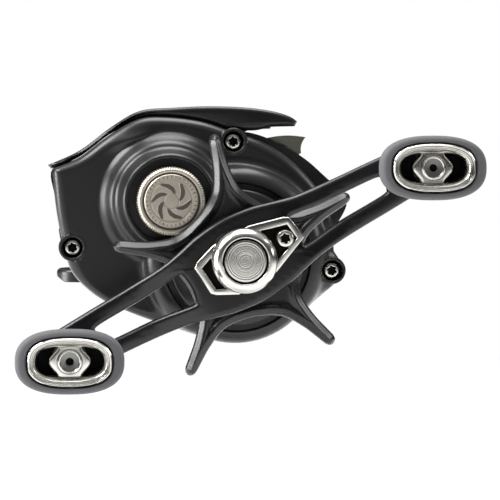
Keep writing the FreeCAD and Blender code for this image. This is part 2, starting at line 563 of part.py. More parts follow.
def make_thumb_bar():
    """Thumb bar across the frame, with a cheek and a guide peg at each end."""
    inner = WALL_IN - 0.3
    profile = region([(20.8, 35.2), (25.0, 35.7), (29.7, 35.3)], [(29.7, 35.3), (28.7, 33.6), (28.6, 31.4)],
                     [(28.6, 31.4), (27.0, 31.0)], [(27.0, 31.0), (24.6, 33.3), (20.8, 33.6)],
                     [(20.8, 33.6), (20.8, 35.2)])
    bar = slab(profile, -inner, inner)
    cheeks = []
    for side in (1, -1):
        outs = sorted((side * inner, side * (inner - 1.3)))
        cheeks.append(polygon([(21.4, 34.0), (28.5, 32.0), (27.2, 29.0), (25.4, 24.2), (22.6, 24.2)], *outs))
        outs = sorted((side * (inner - 0.5), side * (WALL_OUT + (1.4 if side > 0 else -0.2))))
        cheeks.append(disc(PEG_X, PEG_Z, PEG_R, *outs))
    return fuse([bar] + cheeks)


# ---------------------------------------------------------------- drive train on the handle's axis
def make_drive_shaft():
    return turned(CRANK_X, CRANK_Z, [
        (0, WALL_IN + 0.2), (2.5, WALL_IN + 0.2), (2.5, LEVEL_GEAR_OUT - 0.2), (4.4, LEVEL_GEAR_OUT - 0.2),
        (4.4, LEVEL_GEAR_OUT), (CRANK_SHAFT_R, LEVEL_GEAR_OUT), (CRANK_SHAFT_R, HANDLE_OUT0 - 0.2),
        (SHAFT_TIP_R, HANDLE_OUT0 - 0.2), (SHAFT_TIP_R, SHAFT_END), (0, SHAFT_END)])


def make_drive_gear():
    out0 = DRIVE_GEAR_OUT
    out1 = out0 + DRIVE_GEAR_W
    wheel = gear(CRANK_X, CRANK_Z, DRIVE_MODULE, DRIVE_TEETH, DRIVE_PHASE, CRANK_SHAFT_R + FIT, out0, out1)
    wheel = wheel.cut(disc(CRANK_X, CRANK_Z, DRAG_POCKET_R, out1 - DRAG_POCKET_DEPTH, out1 + 1))
    hole = disc(CRANK_X + 9.6, CRANK_Z, 2.0, out0 - 1, out1)
    return wheel.cut(Part.makeCompound(polar(hole, CRANK_X, CRANK_Z, 6)))


DRAG_FLOOR = DRIVE_GEAR_OUT + DRIVE_GEAR_W - DRAG_POCKET_DEPTH
HANDLE_OUT0, HANDLE_T, HANDLE_SWEEP = 38.4, 3.0, 2.4
SHAFT_TIP_R, SHAFT_END = 2.6, 43.6
STAR_OUT0, STAR_T = 32.7, 2.5


def make_star():
    """Star drag wheel: a dished hub with tapering arms, cut out over the star nut."""
    def at(r, side, angle):
        a = math.radians(angle)
        x, z = r * math.cos(a) - side * math.sin(a), r * math.sin(a) + side * math.cos(a)
        return CRANK_X + x, CRANK_Z + z
    step = 360.0 / STAR_ARMS
    stretches = []
    for i in range(STAR_ARMS):
        a = STAR_ANGLE + step * i
        stretches.append([at(STAR_R - 1.7, -1.7, a), at(STAR_R, 0, a), at(STAR_R - 1.7, 1.7, a)])
        gap = [at(STAR_R - 1.7, 1.7, a), at(22.0, 2.2, a), at(16.5, 3.7, a), at(12.6, 0, a + step / 2),
               at(16.5, -3.7, a + step), at(22.0, -2.2, a + step), at(STAR_R - 1.7, -1.7, a + step)]
        stretches.append(gap)
    star = slab(region(*stretches), STAR_OUT0, STAR_OUT0 + STAR_T)
    star = rounded(star, 0.8, edges_at_out(STAR_OUT0 + STAR_T))
    hub = turned(CRANK_X, CRANK_Z, [(0, 29.9), (8.0, 29.9), (9.4, STAR_OUT0 + 0.5), (9.4, STAR_OUT0 + STAR_T - 0.2),
                                    (7.4, 36.4), (0, 36.4)])
    star = fuse([star, hub])
    star = star.cut(hexagon(NUT_FLATS, 29, 34.4))
    return star.cut(disc(CRANK_X, CRANK_Z, CRANK_SHAFT_R + RUN, 34, 37))


NUT_FLATS = 9.0


def hexagon(flats, out0, out1, x=None, z=None):
    x, z = (CRANK_X, CRANK_Z) if x is None else (x, z)
    r = flats / math.sqrt(3)
    corners = [(x + r * math.cos(math.pi / 3 * i), z + r * math.sin(math.pi / 3 * i)) for i in range(6)]
    return polygon(corners, out0, out1)


def make_star_nut():
    return hexagon(NUT_FLATS - 0.1, 30.6, 34.3).cut(disc(CRANK_X, CRANK_Z, CRANK_SHAFT_R + RUN, 30, 36))


# ---------------------------------------------------------------- handle
def handle_place(shape):
    """Turns a shape drawn along +X about the origin onto the handle's axis and angle."""
    shape.rotate(V(0, 0, 0), V(0, -1, 0), HANDLE_ANGLE)
    shape.translate(V(CRANK_X, 0, CRANK_Z))
    return shape


ARM_END_R = 5.6
WINDOW = (13.6, 37.6, 2.8)             # from, to, half width of the slot between the rails


def make_handle_arm():
    side = [(-HANDLE_R, ARM_END_R), (-36.0, 5.85), (-27.0, 6.1), (-18.0, 6.6), (-12.5, 7.7), (-7.0, 9.6), (0.0, 10.4),
            (7.0, 9.6), (12.5, 7.7), (18.0, 6.6), (27.0, 6.1), (36.0, 5.85), (HANDLE_R, ARM_END_R)]
    right_end = [side[-1], (HANDLE_R + ARM_END_R, 0.0), (HANDLE_R, -ARM_END_R)]
    left_end = [(-HANDLE_R, -ARM_END_R), (-HANDLE_R - ARM_END_R, 0.0), side[0]]
    plan = slab(region(side, right_end, [(-x, -z) for x, z in side], left_end), 30, 50)
    o0, o1, drop = HANDLE_OUT0, HANDLE_OUT0 + HANDLE_T, HANDLE_SWEEP
    bend0, bend1, far = 13.0, 24.0, 60.0
    profile = [(-far, o0 - drop), (-bend1, o0 - drop), (-bend0, o0), (bend0, o0), (bend1, o0 - drop), (far, o0 - drop),
               (far, o1 - drop - 0.3), (bend1, o1 - drop - 0.3), (bend0, o1), (-bend0, o1), (-bend1, o1 - drop - 0.3),
               (-far, o1 - drop - 0.3)]
    corners = [V(x, -o, -30) for x, o in profile]
    swept = Part.Face(Part.makePolygon(corners + corners[:1])).extrude(V(0, 0, 60))
    arm = plan.common(swept)
    for sign in (1, -1):
        near, away, half = WINDOW
        x0, x1 = sorted((sign * near, sign * away))
        window = box(x0, x1, 30, 50, -half, half)
        window = window.makeFillet(half * 0.8, [e for e in window.Edges if abs(e.BoundBox.YLength - 20) < 1e-6])
        arm = arm.cut(window)
        arm = arm.cut(disc(sign * HANDLE_R, 0, KNOB_POST_R, 30, 50))
    arm = arm.cut(disc(0, 0, SHAFT_TIP_R + FIT, 30, 50))
    arm = arm.cut(disc(RETAINER_SCREW, 0, 0.8, HANDLE_OUT0 + 0.8, 50))
    return handle_place(arm)


RETAINER_SCREW = 10.7
RETAINER_OUT0 = HANDLE_OUT0 + HANDLE_T + 0.02
RETAINER_T = 1.5
NUT_CAP_R, NUT_DISC_R = 7.3, 4.85
NUT_CAP_OUT = 47.6


def make_retainer():
    """Bright plate round the handle nut, with a framed pocket for its screw."""
    o0, o1 = RETAINER_OUT0, RETAINER_OUT0 + RETAINER_T
    outer = [(14.8, -1.8), (13.8, 3.9), (4.6, 6.3), (-4.6, 6.3), (-10.6, 4.4), (-9.8, -3.6), (-4.6, -6.3), (5.4, -5.7)]
    plate = polygon(outer, o0, o1)
    plate = plate.makeFillet(0.9, [e for e in plate.Edges if abs(e.BoundBox.YLength - RETAINER_T) < 1e-6])
    pocket = polygon([(13.2, -1.4), (12.6, 2.7), (6.4, 4.2), (6.6, -3.8)], o0 + 0.5, o1 + 1)
    window = polygon([(-9.3, 3.0), (-6.2, 3.6), (-6.0, -3.8), (-8.7, -2.8)], o0 - 1, o1 + 1)
    plate = plate.cut(pocket).cut(window)
    plate = plate.cut(hexagon(NUT_FLATS + 0.15, o0 - 1, o1 + 1, 0, 0))
    plate = plate.cut(disc(RETAINER_SCREW, 0, 0.9, o0 - 1, o1 + 1))
    return handle_place(plate)


def make_retainer_screw():
    floor = RETAINER_OUT0 + 0.52
    head = disc(RETAINER_SCREW, 0, 2.1, floor, floor + 1.5)
    head = rounded(head, 0.5, edges_at_out(floor + 1.5))
    shank = disc(RETAINER_SCREW, 0, 0.8, HANDLE_OUT0 + 0.85, floor)
    socket = fuse([box(RETAINER_SCREW - 1.2, RETAINER_SCREW + 1.2, floor + 0.7, floor + 2, -0.25, 0.25),
                   box(RETAINER_SCREW - 0.25, RETAINER_SCREW + 0.25, floor + 0.7, floor + 2, -1.2, 1.2)])
    return handle_place(fuse([head, shank]).cut(socket))


def make_handle_nut():
    """Domed cap nut: hexagon foot in the retainer, broad bevelled rim and a turned disc in its face."""
    o = RETAINER_OUT0
    foot_part = handle_place(hexagon(NUT_FLATS, o + 0.02, o + RETAINER_T + 0.1, 0, 0))
    cap = turned(CRANK_X, CRANK_Z, [
        (0, o + RETAINER_T + 0.05), (NUT_CAP_R, o + RETAINER_T + 0.05), (NUT_CAP_R, NUT_CAP_OUT - 1.5),
        (NUT_DISC_R + 1.3, NUT_CAP_OUT), (NUT_DISC_R + 0.35, NUT_CAP_OUT), (NUT_DISC_R + 0.35, NUT_CAP_OUT - 1.0),
        (NUT_DISC_R, NUT_CAP_OUT - 1.0), (NUT_DISC_R, NUT_CAP_OUT - 0.25), (0, NUT_CAP_OUT - 0.25)])
    return fuse([foot_part, cap]).cut(disc(CRANK_X, CRANK_Z, SHAFT_TIP_R + FIT, o - 1, SHAFT_END + 0.1))


def knob_axis(sign):
    x, z = rot(sign * HANDLE_R, 0, HANDLE_ANGLE)
    return CRANK_X + x, CRANK_Z + z


ARM_FACE = HANDLE_OUT0 + HANDLE_T - HANDLE_SWEEP - 0.3      # outer face of the arm at the knobs
KNOB_POCKET = 60.2
CAP_OUT = 66.2


def make_knob_post(x, z):
    post = disc(x, z, KNOB_POST_R, HANDLE_OUT0 - HANDLE_SWEEP - 0.5, POST_END)
    flange = disc(x, z, 4.2, ARM_FACE + 0.02, ARM_FACE + 1.0)
    rivet = disc(x, z, 3.0, HANDLE_OUT0 - HANDLE_SWEEP - 1.1, HANDLE_OUT0 - HANDLE_SWEEP - 0.02)
    return fuse([post, flange, rivet]).cut(disc(x, z, 0.8, POST_END - 4, POST_END + 1))


def make_knob_grip(x, z):
    """Flat flared grip: an oval that widens from the arm to its end."""
    sections = [(41.0, 11.0, 9.2), (43.0, 13.4, 10.6), (48.0, 16.6, 10.8), (54.0, 20.4, 12.0), (59.5, 23.4, 13.9),
                (62.6, KNOB_LONG, KNOB_SHORT), (64.8, 22.9, 13.4), (65.6, 21.2, 12.2)]
    wires = [oval(x, z, long, short, out) for out, long, short in sections]
    grip = Part.makeLoft(wires, True, False)
    pocket = oval_slab(x, z, 18.9, 11.2, KNOB_POCKET, 70)
    bore = disc(x, z, 4.0, 40, 70)
    return grip.cut(pocket).cut(bore)


def make_knob_bearings(x, z):
    return Part.makeCompound([ring(x, z, 4.0, KNOB_POST_R + RUN, o, o + 2.5) for o in (41.2, 55.6)])


def make_knob_core(x, z):
    """Liner tube that holds the two bearings apart."""
    return ring(x, z, 4.0, 3.2, 43.75, 55.55)


def make_knob_screw(x, z):
    head = rounded(disc(x, z, 1.9, POST_END + 0.02, POST_END + 1.0), 0.3, edges_at_out(POST_END + 1.0))
    shank = disc(x, z, 0.8, POST_END - 3.6, POST_END + 0.02)
    return fuse([head, shank]).cut(hexagon(1.6, POST_END + 0.3, POST_END + 2, x, z))


def make_knob_cap(x, z):
    """Bright end trim: an oval rim with a waisted bridge across its short side and a dished boss."""
    rim = oval_slab(x, z, 18.5, 10.8, KNOB_POCKET + 0.4, CAP_OUT).cut(
        oval_slab(x, z, 15.4, 8.2, KNOB_POCKET, CAP_OUT + 1))
    rim = rim.makeChamfer(0.6, [e for e in rim.Edges if edges_at_out(CAP_OUT)(e)])
    ledge = oval_slab(x, z, 15.6, 8.4, 62.0, 63.6).cut(oval_slab(x, z, 13.4, 6.6, 60, 66))
    boss = turned(x, z, [(2.3, 60.6), (3.4, 60.6), (3.4, 63.4), (2.9, 64.2), (2.3, 63.2)])
    struts = []
    for sx in (1, -1):
        for sz in (1, -1):
            struts.append(polygon([(x + sx * 1.6, z + sz * 2.6), (x + sx * 2.6, z + sz * 1.6),
                                   (x + sx * 4.5, z + sz * 3.6), (x + sx * 3.3, z + sz * 3.8)], 61.4, 63.4))
        struts.append(polygon([(x + sx * 2.5, z + 1.9), (x + sx * 5.3, z), (x + sx * 2.5, z - 1.9)], 61.0, 62.6))
    solid = fuse([rim, ledge, boss] + struts)
    return solid.cut(disc(x, z, 2.3, 60, 66))


# ---------------------------------------------------------------- level wind
def make_worm():
    """Crossed-groove shaft with plain journals at both ends."""
    shaft = disc(WORM_X, WORM_Z, WORM_R, -WALL_IN + 0.4, WALL_IN - 0.4)
    grooves = []
    count = 7
    span = 2 * (GUIDE_TRAVEL + 1.6)
    for i in range(count):
        middle = -span / 2 + span * i / (count - 1)
        for lean in (24, -24):
            groove = ring(0, 0, WORM_R + 1, WORM_R - 0.5, -0.45, 0.45)
            groove.rotate(V(0, 0, 0), V(1, 0, 0), lean)
            groove.translate(V(WORM_X, -middle, WORM_Z))
            grooves.append(groove)
    shaft = shaft.cut(Part.makeCompound(grooves))
    journal = disc(WORM_X, WORM_Z, 1.5, *WORM_ENDS)
    return fuse([shaft, journal])


def make_worm_bushes():
    return Part.makeCompound([ring(WORM_X, WORM_Z, WORM_R + 1.0, 1.5 + RUN, *sorted((s * WALL_IN, s * WALL_OUT)))
                              for s in (1, -1)])


def make_guide_rod():
    return disc(GUIDE_ROD_X, GUIDE_ROD_Z, GUIDE_ROD_R, -WALL_OUT, WALL_OUT)


def make_carrier():
    """Line guide carrier: rides on the worm shaft and the rod, and stands up as the line guide's holder."""
    block = belt(WORM, WORM_R + 1.05, (GUIDE_ROD_X, GUIDE_ROD_Z), 2.0, -CARRIER_HALF, CARRIER_HALF)
    stem = polygon([(-26.2, 16.5), (-26.2, 27.6), (-23.6, 27.6), (-22.4, 17.0)], -CARRIER_HALF, CARRIER_HALF)
    body = fuse([block, stem])
    body = body.cut(disc(WORM_X, WORM_Z, WORM_R + 0.08, -9, 9))
    body = body.cut(disc(GUIDE_ROD_X, GUIDE_ROD_Z, GUIDE_ROD_R + 0.06, -9, 9))
    body = body.cut(pawl_blank(PAWL_R + FIT))
    return body.cut(insert_blank(-30, -20))


def insert_blank(x0, x1, inset=0.0):
    """T-shaped plug along X: a wide slot over a narrow one."""
    wide, narrow, low, mid, high = 2.8 - inset, 1.6 - inset, 19.0 + inset, 23.0 + inset, 26.4 - inset
    corners = [(-wide, high), (wide, high), (wide, mid), (narrow, mid - 1.0), (narrow, low), (-narrow, low),
               (-narrow, mid - 1.0), (-wide, mid)]
    points = [V(x0, y, z) for y, z in corners]
    return Part.Face(Part.makePolygon(points + points[:1])).extrude(V(x1 - x0, 0, 0))


def make_line_insert():
    return insert_blank(-26.8, -23.2).cut(insert_blank(-40, 0, 0.7))


def pawl_blank(r):
    return Part.makeCylinder(r, 1.6, V(WORM_X - WORM_R - 1.5, 0, WORM_Z), V(1, 0, 0))


def make_pawl():
    """Follower that points at the worm shaft from the front of the carrier."""
    return pawl_blank(PAWL_R).cut(disc(WORM_X, WORM_Z, WORM_R + 0.12, -9, 9))


# ---------------------------------------------------------------- write the parts
def build():
    parts = {}
    knobs = {"a": knob_axis(1), "b": knob_axis(-1)}
    parts["frame"] = make_frame()
    parts["gear_side_cover"] = make_gear_cover()
    parts["palm_side_cover"] = make_palm_cover()
    parts["top_hood"] = make_hood()
    parts["gear_cover_screws"] = Part.makeCompound([make_cover_screw(x, z) for x, z in COVER_SCREWS])
    parts["spool"] = make_spool()
    parts["spool_shaft"] = make_spool_shaft()
    parts["spool_cross_pin"] = make_spool_pin()
    parts["brake_rotor"] = make_brake_rotor()
    parts["brake_magnets"] = make_magnet_ring()
    parts["brake_dial"] = make_brake_dial()
    parts["palm_spool_bearing"] = ring(SPOOL_X, SPOOL_Z, SPOOL_BEARING_R, SPOOL_SHAFT_R + RUN, -16.4,
                                       -16.4 + SPOOL_BEARING_W)
    parts["pinion_bearing"] = ring(SPOOL_X, SPOOL_Z, PINION_BEARING_R, 2.0 + RUN, 24.2, 24.2 + PINION_BEARING_W)
    parts["pinion_gear"] = make_pinion()
    parts["clutch_yoke"] = make_yoke()
    parts["yoke_posts"] = make_yoke_posts()
    parts["yoke_springs"] = make_yoke_springs()
    parts["thumb_bar"] = make_thumb_bar()
    parts["cast_control_knob"] = make_cast_knob()
    parts["cast_control_shim"] = disc(SPOOL_X, SPOOL_Z, 3.6, 28.95, 29.4)
    parts["cast_control_o_ring"] = Part.makeTorus(CONTROL_BOSS_R - 0.1, 0.5, V(SPOOL_X, -28.3, SPOOL_Z), V(0, 1, 0)).cut(
        disc(SPOOL_X, SPOOL_Z, CONTROL_BOSS_R + 2 * RUN, 20, 40))
    parts["drive_shaft"] = make_drive_shaft()
    parts["drive_gear"] = make_drive_gear()
    parts["drag_washer"] = ring(CRANK_X, CRANK_Z, DRAG_POCKET_R - 0.2, 5.4, DRAG_FLOOR + 0.01, DRAG_FLOOR + 0.7)
    parts["drag_pressure_plate"] = ring(CRANK_X, CRANK_Z, DRAG_POCKET_R - 0.4, CRANK_SHAFT_R + FIT, DRAG_FLOOR + 0.72,
                                        DRAG_FLOOR + 1.6)
    parts["drive_shaft_bearing"] = ring(CRANK_X, CRANK_Z, MAIN_BEARING_R, 2.5 + RUN, WALL_OUT - MAIN_BEARING_W, WALL_OUT)
    parts["clutch_sleeve"] = ring(CRANK_X, CRANK_Z, SLEEVE_R, CRANK_SHAFT_R + FIT, DRAG_FLOOR + 1.62, 28.9)
    parts["one_way_bearing"] = ring(CRANK_X, CRANK_Z, ROLLER_R, SLEEVE_R + RUN, ROLLER_OUT0, ROLLER_OUT1)
    parts["outer_shaft_bearing"] = ring(CRANK_X, CRANK_Z, CRANK_BEARING_R, SLEEVE_R + RUN, ROLLER_OUT1, 28.4)
    parts["drag_spring_washers"] = Part.makeCompound([
        turned(CRANK_X, CRANK_Z, [(3.1, 28.95), (5.6, 29.15), (5.6, 29.4), (3.1, 29.2)]),
        turned(CRANK_X, CRANK_Z, [(3.1, 29.75), (5.6, 29.45), (5.6, 29.7), (3.1, 30.0)])])
    parts["star_drag"] = make_star()
    parts["star_nut"] = make_star_nut()
    parts["shaft_gear"] = gear(CRANK_X, CRANK_Z, LEVEL_MODULE, SHAFT_GEAR_TEETH, SHAFT_GEAR_PHASE, CRANK_SHAFT_R + FIT,
                               LEVEL_GEAR_OUT, LEVEL_GEAR_OUT + LEVEL_GEAR_W)
    parts["idler_gear"] = gear(*IDLER, LEVEL_MODULE, IDLER_TEETH, IDLER_PHASE, 1.5 + RUN, LEVEL_GEAR_OUT,
                               LEVEL_GEAR_OUT + LEVEL_GEAR_W)
    parts["idler_post"] = fuse([disc(*IDLER, 1.5, WALL_OUT, LEVEL_GEAR_OUT + LEVEL_GEAR_W + 0.1),
                                disc(*IDLER, 2.4, LEVEL_GEAR_OUT + LEVEL_GEAR_W + 0.1, LEVEL_GEAR_OUT + LEVEL_GEAR_W + 0.5)])
    parts["worm_gear"] = gear(WORM_X, WORM_Z, LEVEL_MODULE, WORM_GEAR_TEETH, WORM_GEAR_PHASE, 1.5 + FIT, LEVEL_GEAR_OUT,
                              LEVEL_GEAR_OUT + LEVEL_GEAR_W)
    parts["worm_shaft"] = make_worm()
    parts["worm_bushes"] = make_worm_bushes()
    parts["guide_rod"] = make_guide_rod()
    parts["line_guide_carrier"] = make_carrier()
    parts["line_guide_insert"] = make_line_insert()
    parts["worm_pawl"] = make_pawl()
    parts["handle_arm"] = make_handle_arm()
    parts["nut_retainer"] = make_retainer()
    parts["retainer_screw"] = make_retainer_screw()
    parts["handle_nut"] = make_handle_nut()
    for name, (x, z) in knobs.items():
        parts[f"knob_post_{name}"] = make_knob_post(x, z)
        parts[f"knob_grip_{name}"] = make_knob_grip(x, z)
        parts[f"knob_bearings_{name}"] = make_knob_bearings(x, z)
        parts[f"knob_spacer_{name}"] = make_knob_core(x, z)
        parts[f"knob_screw_{name}"] = make_knob_screw(x, z)
        parts[f"knob_cap_{name}"] = make_knob_cap(x, z)
    return parts


def make_cover_screw(x, z):
    head = rounded(disc(x, z, SCREW_HEAD_R, SCREW_SEAT + 0.02, SCREW_SEAT + 0.02 + SCREW_HEAD_T), 0.45,
                   edges_at_out(SCREW_SEAT + 0.02 + SCREW_HEAD_T))
    shank = disc(x, z, SCREW_R, WALL_IN + 0.1, SCREW_SEAT + 0.02)
    top = SCREW_SEAT + 0.02 + SCREW_HEAD_T
    cross = fuse([box(x - 1.2, x + 1.2, top - 0.7, top + 1, z - 0.25, z + 0.25),
                  box(x - 0.25, x + 0.25, top - 0.7, top + 1, z - 1.2, z + 1.2)])
    return fuse([head, shank]).cut(cross)


def make_cast_knob():
    """Spool tension cap: knurled rim, stepped face, threaded on the cover's boss."""
    body = turned(SPOOL_X, SPOOL_Z, [
        (CONTROL_BOSS_R + RUN, CONTROL_OUT0), (CONTROL_R - 0.5, CONTROL_OUT0), (CONTROL_R, CONTROL_OUT0 + 0.5),
        (CONTROL_R, CONTROL_OUT1 - 0.9), (CONTROL_R - 0.7, CONTROL_OUT1 - 0.2), (6.7, CONTROL_OUT1 - 0.2),
        (6.5, CONTROL_OUT1 - 0.5), (6.2, CONTROL_OUT1 - 0.5), (6.0, CONTROL_OUT1), (0, CONTROL_OUT1), (0, 29.9),
        (CONTROL_BOSS_R + RUN, 29.9)])
    notch = disc(SPOOL_X + CONTROL_R + 0.12, SPOOL_Z, 0.26, CONTROL_OUT0 + 0.6, CONTROL_OUT1)
    body = body.cut(Part.makeCompound(polar(notch, SPOOL_X, SPOOL_Z, 60)))
    return body.cut(ring(SPOOL_X, SPOOL_Z, 6.95, 6.4, 27.7, 28.9))


def make_brake_dial():
    dial = turned(SPOOL_X, SPOOL_Z, [(0, DIAL_OUT0), (DIAL_R, DIAL_OUT0), (DIAL_R, DIAL_OUT1 + 0.8),
                                     (DIAL_R - 0.8, DIAL_OUT1), (DIAL_R - 2.2, DIAL_OUT1), (DIAL_R - 2.8, DIAL_OUT1 + 0.6),
                                     (0, DIAL_OUT1 + 0.6)])
    stem = disc(SPOOL_X, SPOOL_Z, 1.2, DIAL_OUT0, -17.6)
    notch = disc(SPOOL_X + DIAL_R + 0.2, SPOOL_Z, 0.6, DIAL_OUT1 - 1, DIAL_OUT0 + 1)
    dial = dial.cut(Part.makeCompound(polar(notch, SPOOL_X, SPOOL_Z, 24)))
    return fuse([dial, stem])


if __name__ == "__main__":
    os.makedirs("parts", exist_ok=True)
    for node, shape in build().items():
        solids = shape.Solids
        if not solids or not all(s.isValid() and s.Volume > 0 for s in solids):
            raise ValueError(node + " isn't made of valid solids")
        shape.exportStep("parts/" + node + ".step")
        print(f"{node:24s} {len(solids)} solids {shape.Volume:10.1f} mm3")
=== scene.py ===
"""Looks of a low-profile baitcasting reel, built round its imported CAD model.

Sizes are in millimetres until a piece becomes a mesh. A place is (x, out, z), where out is -y:
the distance from the spool's middle towards the handle side.
"""
import logging
import math
from dataclasses import dataclass
from enum import Enum
from typing import Callable, Optional, Sequence, Union

import bmesh
import bpy
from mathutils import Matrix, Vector


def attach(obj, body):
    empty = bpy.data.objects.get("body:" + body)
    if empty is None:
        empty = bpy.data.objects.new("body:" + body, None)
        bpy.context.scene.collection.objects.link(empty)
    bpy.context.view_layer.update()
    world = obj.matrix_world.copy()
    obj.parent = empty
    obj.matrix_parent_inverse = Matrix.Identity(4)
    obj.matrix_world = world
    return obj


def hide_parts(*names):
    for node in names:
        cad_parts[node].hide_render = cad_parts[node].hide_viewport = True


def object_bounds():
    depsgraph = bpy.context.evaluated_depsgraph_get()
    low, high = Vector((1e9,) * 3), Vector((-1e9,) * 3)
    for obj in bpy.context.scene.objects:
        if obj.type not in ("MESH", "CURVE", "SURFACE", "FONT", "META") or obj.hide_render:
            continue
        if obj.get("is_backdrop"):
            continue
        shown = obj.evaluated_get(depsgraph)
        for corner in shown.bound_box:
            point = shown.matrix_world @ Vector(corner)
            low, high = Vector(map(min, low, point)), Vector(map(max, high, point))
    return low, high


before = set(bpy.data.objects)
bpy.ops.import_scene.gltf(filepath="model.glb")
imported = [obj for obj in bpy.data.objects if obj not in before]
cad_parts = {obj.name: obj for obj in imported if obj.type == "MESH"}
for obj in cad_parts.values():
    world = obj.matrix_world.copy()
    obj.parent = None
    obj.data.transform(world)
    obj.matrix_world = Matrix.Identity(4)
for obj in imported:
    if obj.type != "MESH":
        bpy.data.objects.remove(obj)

LOG = logging.getLogger("reel")
MM = 0.001
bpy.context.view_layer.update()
Point2 = tuple[float, float]
Point3 = tuple[float, float, float]
Colour = tuple[float, float, float]

SPOOL_AXIS: Point2 = (-4.1, 20.0)
CRANK_AXIS: Point2 = (11.8, 6.6)
HANDLE_ANGLE = math.radians(27.8)
KNOB_REACH = 45.0
WHITE = (1.0, 1.0, 1.0, 1.0)


# ------------------------------------------------------------------ shader nodes
class Sock:
    """A shader socket that takes arithmetic and adds a Math node for each step."""

    def __init__(self, tree: "Tree", socket: bpy.types.NodeSocket) -> None:
        """Wraps one output socket.

        Args:
            tree: the tree that the socket belongs to.
            socket: the output socket.
        """
        self.tree = tree
        self.socket = socket

    def _step(self, operation: str, first: "Value", second: "Value") -> "Sock":
        """Adds one Math node and returns its result."""
        return self.tree.node("ShaderNodeMath", {"operation": operation}, {0: first, 1: second})

    def __add__(self, other: "Value") -> "Sock":
        """Adds."""
        return self._step("ADD", self, other)

    def __radd__(self, other: "Value") -> "Sock":
        """Adds, with the number first."""
        return self._step("ADD", other, self)

    def __sub__(self, other: "Value") -> "Sock":
        """Subtracts."""
        return self._step("SUBTRACT", self, other)

    def __rsub__(self, other: "Value") -> "Sock":
        """Subtracts from a number."""
        return self._step("SUBTRACT", other, self)

    def __mul__(self, other: "Value") -> "Sock":
        """Multiplies."""
        return self._step("MULTIPLY", self, other)

    def __rmul__(self, other: "Value") -> "Sock":
        """Multiplies, with the number first."""
        return self._step("MULTIPLY", other, self)

    def __pow__(self, other: "Value") -> "Sock":
        """Raises to a power."""
        return self._step("POWER", self, other)

    def clamped(self) -> "Sock":
        """Keeps the value between nought and one."""
        return self.tree.node("ShaderNodeClamp", {}, {"Value": self})


Value = Union[Sock, float, tuple]


